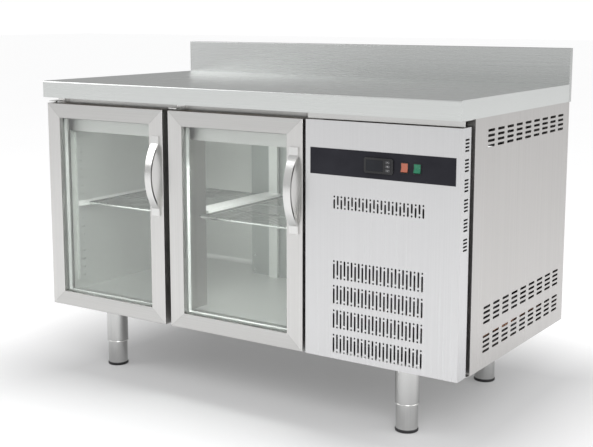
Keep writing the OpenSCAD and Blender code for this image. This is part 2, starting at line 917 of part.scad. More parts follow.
module key_places() {
    for (k = [-1:1])
        translate([controller_x + key_shift, 0, fascia_z + k * key_pitch]) children();
}

module controller() {
    front = fascia_y - controller_front;
    w = controller_body_w / 2;
    h = controller_body_h / 2;
    color([0.13, 0.14, 0.15]) difference() {
        union() {
            plate_xz(front, fascia_y) translate([controller_x, fascia_z])
                polygon(round_rect(controller_w, controller_h, controller_r));
            block([controller_x - w, fascia_y - weld, fascia_z - h],
                  [controller_x + w, fascia_y + controller_body_d, fascia_z + h]);
        }
        block([controller_x + window_shift - window_w / 2, front - cut, fascia_z - window_h / 2],
              [controller_x + window_shift + window_w / 2, front + window_t, fascia_z + window_h / 2]);
        key_places() block([-key_w / 2 - key_gap, front - cut, -key_h / 2 - key_gap],
                           [key_w / 2 + key_gap, front + key_t + key_room - key_proud, key_h / 2 + key_gap]);
    }
}

module display_window() {
    front = fascia_y - controller_front;
    w = window_w / 2 - piece_gap;
    h = window_h / 2 - piece_gap;
    color([0.05, 0.09, 0.08]) translate([controller_x + window_shift, 0, fascia_z])
        block([-w, front, -h], [w, front + window_t, h]);
}

// A push key; place is 1 for the top key, 0 for the middle one and -1 for the bottom one
module key(place) {
    front = fascia_y - controller_front - key_proud;
    color([0.25, 0.26, 0.28]) translate([controller_x + key_shift, 0, fascia_z + place * key_pitch])
        plate_xz(front, front + key_t) polygon(round_rect(key_w, key_h, 2));
}

module key_up() { key(1); }
module key_set() { key(0); }
module key_down() { key(-1); }

module rocker_housings() {
    open_w = rocker_w + 2 * rocker_gap;
    open_h = rocker_h + 2 * rocker_swing;
    body_w = bezel_w / 2 - bezel_rim;
    body_h = bezel_h / 2 - bezel_rim;
    color([0.08, 0.08, 0.09]) for (x = rocker_x)
        difference() {
            union() {
                plate_xz(fascia_y - bezel_t, fascia_y) translate([x, fascia_z])
                    polygon(round_rect(bezel_w, bezel_h, 1.5));
                block([x - body_w, fascia_y - weld, fascia_z - body_h],
                      [x + body_w, fascia_y + rocker_body_d, fascia_z + body_h]);
            }
            block([x - open_w / 2, fascia_y - bezel_t - cut, fascia_z - open_h / 2],
                  [x + open_w / 2, fascia_y + rocker_well, fascia_z + open_h / 2]);
            bar_x([x - body_w - cut, fascia_y + rocker_pivot, fascia_z],
                  2 * (body_w + cut), trunnion_d + 2 * run_fit);
        }
}

// A rocker pressed at its top, which turns on two short trunnions at its sides
module rocker(x, tint) {
    h = rocker_h / 2;
    color(tint) translate([x, fascia_y + rocker_pivot, fascia_z]) rotate([-rocker_tilt, 0, 0]) {
        plate_yz(-rocker_w / 2, rocker_w / 2) polygon([
            [-rocker_front, -h], [-rocker_waist, 0], [-rocker_front, h], [-1, h],
            [rocker_back, h / 2], [rocker_back, -h / 2], [-1, -h]]);
        bar_x([-rocker_w / 2 - trunnion_l, 0, 0], rocker_w + 2 * trunnion_l, trunnion_d);
    }
}

module power_rocker() { rocker(rocker_x[0], [0.85, 0.40, 0.28]); }
module light_rocker() { rocker(rocker_x[1], [0.12, 0.62, 0.42]); }

// Machine room --------------------------------------------------------------

module electrical_box() {
    x0 = machine_x0 + piece_gap;
    x1 = x0 + ebox_w;
    y0 = case_y + 70;
    y1 = y0 + ebox_d;
    z1 = case_z - 60;
    z0 = z1 - ebox_h;
    color([0.55, 0.56, 0.58]) {
        difference() {
            block([x0, y0, z0], [x1, y1, z1]);
            block([x0 + sheet, y0 + sheet, z0 + sheet], [x1 + cut, y1 - sheet, z1 - sheet]);
        }
        block([x1, y0 - ebox_lip, z0 - ebox_lip], [x1 + sheet, y1 + ebox_lip, z1 + ebox_lip]);
    }
}

module machine_tray() {
    x0 = machine_x0 + 12;
    x1 = machine_x1 - 24;
    y0 = coil_y - 7;
    y1 = side_back - 26;
    color([0.62, 0.64, 0.66]) difference() {
        block([x0, y0, machine_z], [x1, y1, tray_z]);
        block([x0 + sheet, y0 - cut, machine_z - cut], [x1 - sheet, y1 + cut, tray_z - sheet]);
    }
}

module mount_places() {
    for (dx = [-mount_dx, mount_dx])
        for (dy = [-mount_dy, mount_dy])
            translate([compressor_x + dx, compressor_y + dy, 0]) children();
}

module compressor_mounts() {
    color(black) mount_places() difference() {
        union() {
            translate([0, 0, tray_z]) cylinder(h = compressor_z - tray_z, d = 2 * mount_neck_d);
            translate([0, 0, compressor_z - weld]) cylinder(h = compressor_foot_t + weld, d = mount_neck_d);
        }
        translate([0, 0, tray_z - cut])
            cylinder(h = compressor_z - tray_z + compressor_foot_t + 2 * cut, d = mount_bore);
    }
}

module compressor() {
    r = compressor_d / 2;
    z = compressor_z;
    foot_x = mount_dx + mount_edge;
    foot_y = mount_dy + mount_edge;
    color(black) {
        difference() {
            block([compressor_x - foot_x, compressor_y - foot_y, z],
                  [compressor_x + foot_x, compressor_y + foot_y, z + compressor_foot_t]);
            mount_places() translate([0, 0, z - cut])
                cylinder(h = compressor_foot_t + 2 * cut, d = mount_neck_d + 2 * piece_gap);
        }
        // The shell: a dished bottom, a weld flange round its middle and a domed top
        translate([compressor_x, compressor_y, z + compressor_foot_t - 1])
            rotate_extrude($fn = 96) polygon(concat(
                [[0, 0], [r - 26, 0], [r - 10, 8], [r, 26], [r, seam_z], [r + seam_out, seam_z],
                 [r + seam_out, seam_z + seam_t], [r, seam_z + seam_t]],
                [for (i = [0:arc_steps])
                    [r * cos(90 * i / arc_steps), compressor_h - dome_h + dome_h * sin(90 * i / arc_steps)]]));
        // The terminal box on its front
        block([compressor_x - terminal_w / 2, compressor_y - r - terminal_out, z + 60],
              [compressor_x + terminal_w / 2, compressor_y - r + 16, z + 60 + terminal_h]);
    }
}

module condenser_coil() {
    fins = 27;
    fin_t = 2;
    fin_pitch = (coil_x1 - coil_x0 - fin_t) / (fins - 1);
    rows = 7;
    tube_d = 9.5;
    tube_inset = 14;
    tube_out = 6;
    z0 = tray_z;
    row_pitch = (coil_z1 - z0) / rows;
    color([0.45, 0.46, 0.48]) {
        for (k = [0:fins - 1])
            block([coil_x0 + k * fin_pitch, coil_y, z0],
                  [coil_x0 + k * fin_pitch + fin_t, coil_y + coil_d, coil_z1]);
        for (r = [0:rows - 1])
            for (y = [coil_y + tube_inset, coil_y + coil_d - tube_inset])
                bar_x([coil_x0 - tube_out, y, z0 + (r + 0.5) * row_pitch],
                      coil_x1 - coil_x0 + 2 * tube_out, tube_d);
    }
}

module fan_shroud() {
    color(black) difference() {
        union() {
            block([coil_x0, shroud_y, tray_z], [coil_x1, shroud_y + shroud_t, coil_z1]);
            bar_y([large_fan_x, shroud_y, large_fan_z], shroud_d, ring_d + 2 * shroud_t);
        }
        bar_y([large_fan_x, shroud_y - cut, large_fan_z], shroud_d + 2 * cut, ring_d);
    }
}

module condenser_motor() {
    can_l = 62;
    can_d = 84;
    arm = ring_d / 2 + shroud_t;
    arm_w = 12;
    arm_t = 3;
    arm_y = motor_y + 6;
    color([0.30, 0.31, 0.33]) {
        bar_y([large_fan_x, motor_y, large_fan_z], can_l, can_d);
        bar_y([large_fan_x, motor_y - large_shaft_l, large_fan_z], large_shaft_l + weld, large_shaft_d);
        // Four arms reach out to the shroud's ring
        for (a = [45:90:315])
            translate([large_fan_x, 0, large_fan_z]) rotate([0, a, 0]) {
                block([can_d / 2 - arm_w, arm_y, -arm_w / 2], [arm, arm_y + arm_t, arm_w / 2]);
                block([arm - arm_t, shroud_y + shroud_d + piece_gap, -arm_w / 2],
                      [arm, arm_y + arm_t, arm_w / 2]);
            }
    }
}

module condenser_fan() {
    color([0.70, 0.71, 0.72]) translate([large_fan_x, large_fan_y + hub_t, large_fan_z]) rotate([90, 0, 0])
        fan(large_fan_d, large_hub_d, hub_t, large_shaft_d, 26);
}

// A pipe along level and upright runs, with a brazed elbow at each turn
module pipe(points) {
    for (i = [0:len(points) - 2]) {
        a = points[i];
        b = points[i + 1];
        lo = [min(a[0], b[0]), min(a[1], b[1]), min(a[2], b[2])];
        if (a[0] != b[0]) bar_x(lo, abs(a[0] - b[0]), pipe_d);
        if (a[1] != b[1]) bar_y(lo, abs(a[1] - b[1]), pipe_d);
        if (a[2] != b[2]) bar_z(lo, abs(a[2] - b[2]), pipe_d);
    }
    for (i = [1:len(points) - 2])
        translate(points[i]) sphere(d = elbow_d);
}

module copper_pipes() {
    hot_z = compressor_z + 100;
    cold_z = coil_z1 + 90;
    liquid_z = tray_z + 30;
    end = coil_x1 + 6.5;
    coil_mid = coil_y + coil_d / 2;
    shell = compressor_x + compressor_d / 2;
    rear = side_back - 50;
    wall = machine_x0 + piece_gap;
    turn = wall + 22;
    top = compressor_z + compressor_foot_t - 1 + compressor_h + piece_gap;
    color(copper) {
        pipe([[shell + 2, compressor_y, hot_z], [pipe_x, compressor_y, hot_z],
              [pipe_x, coil_mid, hot_z], [end, coil_mid, hot_z]]);
        pipe([[end, coil_mid, liquid_z], [pipe_x, coil_mid, liquid_z], [pipe_x, rear, liquid_z],
              [turn, rear, liquid_z], [turn, rear, cold_z], [wall, rear, cold_z]]);
        // The filter drier is brazed into the liquid line
        bar_y([pipe_x, compressor_y - 190, liquid_z], drier_l, drier_d);
        pipe([[wall, compressor_y, cold_z], [compressor_x, compressor_y, cold_z],
              [compressor_x, compressor_y, top]]);
    }
}

module evaporation_tray() {
    x0 = compressor_x + mount_dx + mount_edge + 12;
    x1 = pipe_x - 20;
    y0 = compressor_y - 60;
    y1 = compressor_y + 86;
    t = pan_wall;
    color([0.80, 0.80, 0.78]) difference() {
        block([x0, y0, tray_z], [x1, y1, tray_z + pan_h]);
        block([x0 + t, y0 + t, tray_z + t], [x1 - t, y1 - t, tray_z + pan_h + cut]);
    }
}

module cable_gland() {
    inner = side_back - gland_in;
    outer = case_back + gland_out;
    color(black) difference() {
        union() {
            bar_y([gland_x, inner, gland_z], outer - inner, gland_d);
            bar_y([gland_x, case_back, gland_z], gland_flange_t, gland_d + 10);
            bar_y([gland_x, side_back - gland_nut_t, gland_z], gland_nut_t, gland_d + 8);
        }
        bar_y([gland_x, inner - cut, gland_z], outer - inner + 2 * cut, gland_bore);
    }
}

// Legs, hinges and screws ---------------------------------------------------

module leg_sockets() {
    color(bright) difference() {
        for (x = leg_x)
            for (y = leg_y)
                union() {
                    bar_z([x, y, sleeve_low], leg_h - plate_t - sleeve_low + weld, sleeve_d);
                    block([x - plate_w / 2, y - plate_w / 2, leg_h - plate_t],
                          [x + plate_w / 2, y + plate_w / 2, leg_h]);
                }
        for (x = leg_x)
            for (y = leg_y)
                bar_z([x, y, sleeve_low - cut], leg_h - plate_t - sleeve_low + cut, foot_d + 2 * run_fit);
        leg_bolt_holes(leg_h - plate_t - cut, leg_h + cut, bolt_d + 2 * piece_gap);
    }
}

module foot(ix, iy) {
    color(bright) translate([leg_x[ix], leg_y[iy], 0]) difference() {
        union() {
            cylinder(h = pad_t, d = foot_d + 2 * pad_rim);
            translate([0, 0, pad_t - weld]) cylinder(h = foot_top - pad_t + weld, d = foot_d);
        }
        translate([0, 0, pad_t + foot_floor]) cylinder(h = foot_top, d = foot_d - 2 * foot_wall);
    }
}

module foot_front_left() { foot(0, 0); }
module foot_front_right() { foot(1, 0); }
module foot_rear_left() { foot(0, 1); }
module foot_rear_right() { foot(1, 1); }

module hinge_brackets() {
    top = door_z + door_h;
    low = top + bracket_gap;
    half = bracket_w / 2;
    t = bracket_t;
    color(bright) for (side = [0:1]) {
        x = door_x(side) + seal_inset;
        y = door_y + pin_set;
        edge = max(x - half, left_x + clear);
        // The upper bracket is screwed to the lintel's face, and the lower one under the base
        block([edge, y - half, low], [x + half, case_y, low + t]);
        block([edge, case_y - t, low], [x + half, case_y, low + t + bracket_up]);
        bar_z([x, y, top - pin_l], pin_l + bracket_gap + weld, pin_d);
        block([edge, y - half, leg_h - t], [x + half, case_y + bracket_under, leg_h]);
        bar_z([x, y, leg_h - weld], door_z - leg_h + weld + pin_l, pin_d);
    }
}

module screws() {
    color(bright) {
        // Back panel
        back_screw_places() {
            bar_y([0, side_back - sheet, 0], 2 * sheet + weld, screw_d);
            bar_y([0, case_back, 0], screw_head_t, screw_head_d);
        }
        // Evaporator housing
        housing_screw_places() {
            bar_y([0, housing_y - weld, 0], screw_l, screw_d);
            bar_y([0, housing_y - screw_head_t, 0], screw_head_t, screw_head_d);
        }
        // Leg plates
        for (x = leg_x)
            for (y = leg_y)
                for (dx = [-bolt_at, bolt_at])
                    for (dy = [-bolt_at, bolt_at]) {
                        bar_z([x + dx, y + dy, leg_h - plate_t - weld], plate_t + sheet, bolt_d);
                        bar_z([x + dx, y + dy, leg_h - plate_t - bolt_head_t],
                              bolt_head_t, bolt_d + bolt_head_w);
                    }
    }
}

// Doors, each drawn from its own lower left front corner ---------------------

module at_door(side) {
    translate([door_x(side), door_y, door_z]) children();
}

// The whole door as a block with its front edges chamfered
module door_blank() {
    c = door_chamfer;
    intersection() {
        linear_extrude(door_h)
            polygon([[c, 0], [door_w - c, 0], [door_w, c], [door_w, door_t], [0, door_t], [0, c]]);
        plate_yz(0, door_w)
            polygon([[0, c], [c, 0], [door_t, 0], [door_t, door_h], [c, door_h], [0, door_h - c]]);
    }
}

// The four mitred bars' outlines, seen from the front
function bar_outlines(w, h, sw, rh, g) = [
    [[0, g], [sw, rh + g], [sw, h - rh - g], [0, h - g]],
    [[w, g], [w - sw, rh + g], [w - sw, h - rh - g], [w, h - g]],
    [[g, 0], [sw + g, rh], [w - sw - g, rh], [w - g, 0]],
    [[g, h], [sw + g, h - rh], [w - sw - g, h - rh], [w - g, h]]];

// A solid round the hinge pin at a door's bottom (top = 0) or top (top = 1), joined to the outer skin
module pin_boss(top, l) {
    z = top * (door_h - l);
    r = pin_d / 2 + run_fit + boss_wall;
    bar_z([seal_inset, pin_set, z], l, 2 * r);
    block([0, pin_set - r, z], [seal_inset, pin_set + r, z + l]);
}

// The space inside the four bars, less the bosses round the hinge pins
module door_hollow() {
    t = door_skin;
    x = stile_w - pane_lap - clear - t;
    z = rail_h - pane_lap - clear - t;
    difference() {
        union() {
            block([t, t, t], [x, door_t - t, door_h - t]);
            block([door_w - x, t, t], [door_w - t, door_t - t, door_h - t]);
            block([t, t, t], [door_w - t, door_t - t, z]);
            block([t, t, door_h - z], [door_w - t, door_t - t, door_h - t]);
        }
        for (top = [0, 1]) pin_boss(top, pin_l + pin_end + t);
    }
}

module door_frame(side) {
    glass_back = glass_set + 2 * pane_t + pane_space;
    color(steel) at_door(side)
        for (outline = bar_outlines(door_w, door_h, stile_w, rail_h, piece_gap / 2))
            difference() {
                intersection() {
                    plate_xz(-cut, door_t + cut) polygon(outline);
                    door_blank();
                }
                door_hollow();
                block([stile_w - pane_lap - clear, glass_set - piece_gap, rail_h - pane_lap - clear],
                      [door_w - stile_w + pane_lap + clear, glass_back + piece_gap,
                       door_h - rail_h + pane_lap + clear]);
                for (z = [-cut, door_h - pin_l - pin_end])
                    bar_z([seal_inset, pin_set, z], pin_l + pin_end + cut, pin_d + 2 * run_fit);
            }
}

module door_glass(side) {
    x0 = stile_w - pane_lap;
    z0 = rail_h - pane_lap;
    color([0.75, 0.88, 0.85, 0.35]) at_door(side)
        for (y = [glass_set, glass_set + pane_t + pane_space])
            block([x0, y, z0], [door_w - x0, y + pane_t, door_h - z0]);
}

module door_spacer(side) {
    x0 = stile_w - pane_lap;
    z0 = rail_h - pane_lap;
    w = door_w - 2 * x0;
    h = door_h - 2 * z0;
    color([0.82, 0.83, 0.84]) at_door(side) translate([x0, 0, z0])
        for (outline = bar_outlines(w, h, spacer_w, spacer_w, piece_gap / 2))
            plate_xz(glass_set + pane_t, glass_set + pane_t + pane_space) polygon(outline);
}

module door_seal(side) {
    w = door_w - 2 * seal_inset;
    h = door_h - 2 * seal_inset;
    color([0.42, 0.43, 0.43]) at_door(side) translate([seal_inset, 0, seal_inset])
        for (outline = bar_outlines(w, h, seal_w, seal_w, piece_gap / 2))
            plate_xz(door_t, door_t + seal_t - seal_gap) polygon(outline);
}

module door_handle(side) {
    half = handle_l / 2;
    chord = half - handle_foot;
    r = (chord * chord + handle_reach * handle_reach) / (2 * handle_reach);
    foot_l = handle_foot + 6;
    steps = 16;
    flare = (handle_w - handle_waist) / 2;
    function half_w(i) = handle_waist / 2 + flare * pow(i / steps, 2);
    side_line = [for (i = [-steps:steps]) [half_w(i), half * i / steps]];
    other_line = [for (i = [steps:-1:-steps]) [-half_w(i), half * i / steps]];
    color(bright) at_door(side) translate([door_w - stile_w / 2, 0, handle_mid]) intersection() {
        plate_xz(-handle_reach - cut, 0) polygon(concat(side_line, other_line));
        union() {
            difference() {
                bar_x([-handle_w, r - handle_reach, 0], 2 * handle_w, 2 * r, $fn = 240);
                bar_x([-handle_w - cut, r - handle_reach, 0],
                      2 * handle_w + 2 * cut, 2 * (r - handle_t), $fn = 240);
            }
            for (end = [-1, 1])
                translate([0, -handle_t / 2, end * (half - foot_l / 2)])
                    cube([2 * handle_w, handle_t, foot_l], center = true);
        }
    }
}

module door_frame_left() { door_frame(0); }
module door_glass_left() { door_glass(0); }
module door_spacer_left() { door_spacer(0); }
module door_seal_left() { door_seal(0); }
module door_handle_left() { door_handle(0); }
module door_frame_right() { door_frame(1); }
module door_glass_right() { door_glass(1); }
module door_spacer_right() { door_spacer(1); }
module door_seal_right() { door_seal(1); }
module door_handle_right() { door_handle(1); }

side_panel_left();
side_panel_right();
back_panel();
base_panel();
insulation_slabs();
liner_panels();
lintels();
sill();
mullion();
divider_panel();
worktop();
worktop_core();
splashback();
rack_uprights();
shelf_runners();
shelf_left();
shelf_right();
evaporator_housing();
evaporator_coil();
evaporator_motor();
evaporator_fan();
interior_light();
service_panel();
control_fascia();
controller();
display_window();
key_set();
key_up();
key_down();
rocker_housings();
power_rocker();
light_rocker();
electrical_box();
machine_tray();
compressor();
compressor_mounts();
condenser_coil();
fan_shroud();
condenser_motor();
condenser_fan();
copper_pipes();
evaporation_tray();
cable_gland();
leg_sockets();
foot_front_left();
foot_front_right();
foot_rear_left();
foot_rear_right();
hinge_brackets();
screws();
door_frame_left();
door_glass_left();
door_spacer_left();
door_seal_left();
door_handle_left();
door_frame_right();
door_glass_right();
door_spacer_right();
door_seal_right();
door_handle_right();
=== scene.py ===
# %% [markdown]
# # An undercounter refrigerator with two glass doors
#
# The real thing is a low steel counter that stands under a worktop in a food truck or a stall. Folded
# stainless sheet makes its body, two glazed doors close the cold room, and the machine sits behind a
# slotted panel at the right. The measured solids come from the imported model, so this lesson is about
# finish: how sheet steel, glass, rubber and paint are told apart with nodes, and which small parts are
# worth making again with more roundness than a drawing for cutting and bending holds.
#
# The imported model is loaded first, because each later place and size is read from it.

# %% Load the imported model
import math

import bmesh
import bpy
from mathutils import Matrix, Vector


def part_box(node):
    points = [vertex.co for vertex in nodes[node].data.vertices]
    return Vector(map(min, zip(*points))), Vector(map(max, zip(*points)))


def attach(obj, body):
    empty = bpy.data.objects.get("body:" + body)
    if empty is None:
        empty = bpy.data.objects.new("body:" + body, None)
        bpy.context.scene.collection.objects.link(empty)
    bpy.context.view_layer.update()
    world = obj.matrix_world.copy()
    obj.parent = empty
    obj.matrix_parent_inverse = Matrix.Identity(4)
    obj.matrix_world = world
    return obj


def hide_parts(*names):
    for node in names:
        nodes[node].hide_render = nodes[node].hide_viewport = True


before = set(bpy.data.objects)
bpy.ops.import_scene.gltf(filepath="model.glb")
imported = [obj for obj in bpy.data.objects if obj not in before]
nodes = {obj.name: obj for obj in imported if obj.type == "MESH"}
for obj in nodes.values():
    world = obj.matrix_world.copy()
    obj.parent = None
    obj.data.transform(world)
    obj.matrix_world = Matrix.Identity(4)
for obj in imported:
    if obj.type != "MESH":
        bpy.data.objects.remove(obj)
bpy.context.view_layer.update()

# %% [markdown]
# ## The camera
#
# A counter is shown from a little above and from its machine side, so that both doors, the panel and
# the slotted end are seen at once. A long lens keeps the upright edges almost parallel. The view is
# shifted a little instead of tilting the camera, which would make the uprights lean.

# %% Place the camera
SENSOR_WIDTH = 36
LENS = 67.273
VIEW_SHIFT = -0.06
CAMERA_PLACE = (1.7536, -2.6284, 1.0454)
LOOK_DOWN = 8.968
TURN_ROUND = 33.79

camera = bpy.data.objects.new("studio_camera", bpy.data.cameras.new("studio_camera"))
bpy.context.scene.collection.objects.link(camera)
camera.data.sensor_width = SENSOR_WIDTH
camera.data.lens = LENS
camera.data.shift_y = VIEW_SHIFT
camera.location = CAMERA_PLACE
camera.rotation_euler = (math.radians(90 - LOOK_DOWN), 0, math.radians(TURN_ROUND))
bpy.context.scene.camera = camera
bpy.context.scene.view_settings.view_transform = "Standard"
print("camera", round(camera.location.length, 2), "m from the middle of the floor under the counter")

# %% [markdown]
# ## Small helpers for finishes
#
# Each finish starts from the same shader and from the object's own coordinates, in metres. Noise that
# is squeezed in two directions and left long in the third draws brushed grain; the same noise left
# round draws orange peel or dust. Every finish below is a few of these joined together, so they are
# written once as functions. This cell holds the two that each finish starts from.

# %% A new finish and its noise
def start_finish(name, colour, metallic=0.0, roughness=0.4, **sockets):
    """A new material, its node tree, its shader and the object's own coordinates."""
    finish = bpy.data.materials.new(name)
    finish.use_nodes = True
    tree = finish.node_tree
    shader = tree.nodes["Principled BSDF"]
    shader.inputs["Base Color"].default_value = (*colour, 1)
    shader.inputs["Metallic"].default_value = metallic
    shader.inputs["Roughness"].default_value = roughness
    for socket, value in sockets.items():
        shader.inputs[socket.replace("_", " ")].default_value = value
    place = tree.nodes.new("ShaderNodeTexCoord").outputs["Object"]
    return finish, tree, shader, place


def noise(tree, place, scale, detail=2.0):
    """Noise with so many grains a metre along X, Y and Z."""
    mapping = tree.nodes.new("ShaderNodeMapping")
    mapping.inputs["Scale"].default_value = scale
    cloud = tree.nodes.new("ShaderNodeTexNoise")
    cloud.inputs["Scale"].default_value = 1.0
    cloud.inputs["Detail"].default_value = detail
    tree.links.new(place, mapping.inputs["Vector"])
    tree.links.new(mapping.outputs["Vector"], cloud.inputs["Vector"])
    return cloud.outputs["Fac"]


print("helpers ready: a new finish, and noise")

# %% [markdown]
# ## Sums on a surface
#
# A noise value has to be stretched before it can drive a colour or a gloss, and sometimes two values
# are added or compared. Blender has a node for each of these, and one short function per node keeps
# the finishes readable.

# %% Stretch a value, and calculate with two
def spread(tree, value, low, high, start=0.3, end=0.7):
    """The middle of a noise stretched to run from low to high."""
    ranged = tree.nodes.new("ShaderNodeMapRange")
    for socket, number in zip(("From Min", "From Max", "To Min", "To Max"), (start, end, low, high)):
        ranged.inputs[socket].default_value = number
    tree.links.new(value, ranged.inputs["Value"])
    return ranged.outputs["Result"]


def calculate(tree, operation, first, second):
    """One sum on two values, each a number or the output of a node."""
    sum_node = tree.nodes.new("ShaderNodeMath")
    sum_node.operation = operation
    for socket, value in zip(sum_node.inputs, (first, second)):
        if isinstance(value, (int, float)):
            socket.default_value = value
        else:
            tree.links.new(value, socket)
    return sum_node.outputs[0]


print("helpers ready: spread and calculate")

# %% [markdown]
# ## Colour and relief
#
# The stretched value ends in one of two places on the real surface: in how light it is, or in how
# high it stands. Blending two colours does the first, and a bump node with a depth in metres does the
# second. Relief this fine is far below what a mesh should carry, so it stays in the shader.

# %% Blend two colours, and raise a surface
def blend_colours(tree, factor, dark, light):
    """A colour between two, by a factor that varies over the surface."""
    mix = tree.nodes.new("ShaderNodeMix")
    mix.data_type = "RGBA"
    mix.inputs[6].default_value = (*dark, 1)
    mix.inputs[7].default_value = (*light, 1)
    tree.links.new(factor, mix.inputs[0])
    return mix.outputs[2]


def raise_surface(tree, shader, height, distance, strength=1.0):
    """Fine relief in metres from a height between 0 and 1."""
    bump = tree.nodes.new("ShaderNodeBump")
    bump.inputs["Distance"].default_value = distance
    bump.inputs["Strength"].default_value = strength
    tree.links.new(height, bump.inputs["Height"])
    tree.links.new(bump.outputs["Normal"], shader.inputs["Normal"])


print("helpers ready: blend and raise")

# %% [markdown]
# ## Brushed stainless steel
#
# Counter makers buy sheet that was polished with a belt in one direction. The scratches spread a
# reflection across the grain, and a stripe of light wanders over the sheet where it isn't quite flat.
# An anisotropic shader can copy the spread, but it needs tangents that a cut sheet doesn't carry.
# Long thin noise that drives the colour, the roughness and a very fine relief gives the same look and
# survives in any viewer, so that is what every steel here uses. The wandering stripe of light is painted:
# slow, wide noise lightens and darkens the colour as a painted reflection, and it also varies the
# roughness.

# %% Brushed steel along one direction
GRAIN = {"x": (1.6, 420, 420), "y": (420, 1.6, 420), "z": (420, 420, 1.6)}
# painted sheen: slow, wide noise lightens and darkens the colour like the light an uneven sheet reflects
PAINTED_SHEEN_WAVES = (1.9, 1.9, 1.4)
GRAIN_SHARE = 0.62
PAINTED_SHEEN_SHARE = 0.38
SCRATCH_DEPTH = 0.00003
SCRATCH_STRENGTH = 0.3


def brush_lines(tree, place, direction):
    """Grain that runs along x, y or z."""
    return noise(tree, place, GRAIN[direction], detail=5)


def finish_grain(tree, shader, lines, place, dark, light, rough):
    """Puts grain and a slow painted sheen into the colour and the roughness, and the grain alone into the
    relief.
    """
    # painted sheen: this slow noise goes into the colour as a painted reflection, and into the roughness
    sheen_waves = noise(tree, place, PAINTED_SHEEN_WAVES, detail=2)
    grain_part = calculate(tree, "MULTIPLY", lines, GRAIN_SHARE)
    painted_sheen_part = calculate(tree, "MULTIPLY", sheen_waves, PAINTED_SHEEN_SHARE)
    both = calculate(tree, "ADD", grain_part, painted_sheen_part)
    tree.links.new(blend_colours(tree, spread(tree, both, 0, 1), dark, light),
                   shader.inputs["Base Color"])
    tree.links.new(spread(tree, both, rough[1], rough[0]), shader.inputs["Roughness"])
    raise_surface(tree, shader, lines, SCRATCH_DEPTH, SCRATCH_STRENGTH)


def brushed_steel(name, direction, dark, light, rough=(0.26, 0.36), metallic=1.0):
    """Steel brushed one way."""
    finish, tree, shader, place = start_finish(name, light, metallic, rough[0])
    finish_grain(tree, shader, brush_lines(tree, place, direction), place, dark, light, rough)
    return finish


body_steel = brushed_steel("body_steel", "z", (0.47, 0.458, 0.448), (0.52, 0.508, 0.498))
panel_steel = brushed_steel("panel_steel", "z", (0.56, 0.56, 0.565), (0.61, 0.61, 0.615))
top_steel = brushed_steel("top_steel", "x", (0.6, 0.615, 0.605), (0.66, 0.675, 0.665), (0.24, 0.32))
splash_steel = brushed_steel("splash_steel", "x", (0.5, 0.51, 0.505), (0.55, 0.56, 0.555), (0.22, 0.3))
level_steel = brushed_steel("level_steel", "x", (0.56, 0.56, 0.55), (0.62, 0.62, 0.61))
print("brushed steels for the body, the panel, the top, the splashback and level sheet")

# %% [markdown]
# ## Door bars with a mitre
#
# A door frame is four bars cut at 45 degrees and welded. The grain follows each bar, so the light
# falls differently on the uprights and on the level bars. That difference is painted: the uprights are
# given a lighter colour than the level bars as a painted sheen, and a darker line marks each mitre.
# The shader decides which bar a point is in: it compares how deep the point lies from the
# nearest side with how deep it lies from the top or bottom, each as a share of that bar's width.

# %% Steel for a mitred door frame
STILE_WIDTH = 0.048
RAIL_WIDTH = 0.042
DOOR_DARK = (0.44, 0.44, 0.43)
DOOR_LIGHT = (0.605, 0.6, 0.59)
# painted sheen: how much lighter the uprights are painted than the level bars
UPRIGHT_PAINTED_SHEEN = 0.3
SEAM_WIDTH = 0.018
SEAM_SHADE = 0.35


def depth_share(tree, value, low, high, width):
    """How far a coordinate lies inside the nearer of two edges, as a share of a bar's width."""
    from_low = calculate(tree, "SUBTRACT", value, low)
    from_high = calculate(tree, "SUBTRACT", high, value)
    return calculate(tree, "DIVIDE", calculate(tree, "MINIMUM", from_low, from_high), width)


def mitred_steel(name, door):
    """Steel whose grain turns at the mitres of one door, with the uprights painted lighter as a painted
    sheen.
    """
    (left, _, bottom), (right, _, top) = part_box(door)
    finish, tree, shader, place = start_finish(name, DOOR_LIGHT, 1.0, 0.3)
    axes = tree.nodes.new("ShaderNodeSeparateXYZ")
    tree.links.new(place, axes.inputs["Vector"])
    side = depth_share(tree, axes.outputs["X"], left, right, STILE_WIDTH)
    end = depth_share(tree, axes.outputs["Z"], bottom, top, RAIL_WIDTH)
    upright = calculate(tree, "LESS_THAN", side, end)
    level = calculate(tree, "SUBTRACT", 1.0, upright)
    lines = calculate(
        tree, "ADD",
        calculate(tree, "MULTIPLY", brush_lines(tree, place, "z"), upright),
        calculate(tree, "MULTIPLY", brush_lines(tree, place, "x"), level),
    )
    line_shade = calculate(tree, "MULTIPLY", lines, 0.5)
    # painted sheen: the uprights are made lighter than the level bars in the colour
    upright_painted_sheen = calculate(tree, "MULTIPLY", upright, UPRIGHT_PAINTED_SHEEN)
    shade = calculate(tree, "ADD", line_shade, upright_painted_sheen)
    seam = calculate(tree, "ABSOLUTE", calculate(tree, "SUBTRACT", side, end), 0)
    cut = calculate(tree, "LESS_THAN", seam, SEAM_WIDTH)
    shade = calculate(tree, "SUBTRACT", shade, calculate(tree, "MULTIPLY", cut, SEAM_SHADE))
    mixing = spread(tree, shade, 0, 1, -0.1, 0.62)
    tree.links.new(blend_colours(tree, mixing, DOOR_DARK, DOOR_LIGHT), shader.inputs["Base Color"])
    tree.links.new(spread(tree, lines, 0.36, 0.28), shader.inputs["Roughness"])
    raise_surface(tree, shader, lines, SCRATCH_DEPTH, SCRATCH_STRENGTH)
    return finish


door_steel = {door: mitred_steel(door + "_steel", "door_frame_" + door) for door in ("left", "right")}
print("mitred steel for", ", ".join(door_steel))

# %% [markdown]
# ## Bright steel and aluminium
#
# Handles, legs and wire are tube and rod, polished rather than brushed, so their gloss is sharper.
# The inside walls are a duller sheet that takes a green cast from the glass. Fins are bare aluminium.
# The same brushing with other greys and another roughness makes them all, which is quicker to tune
# than a shader for each.

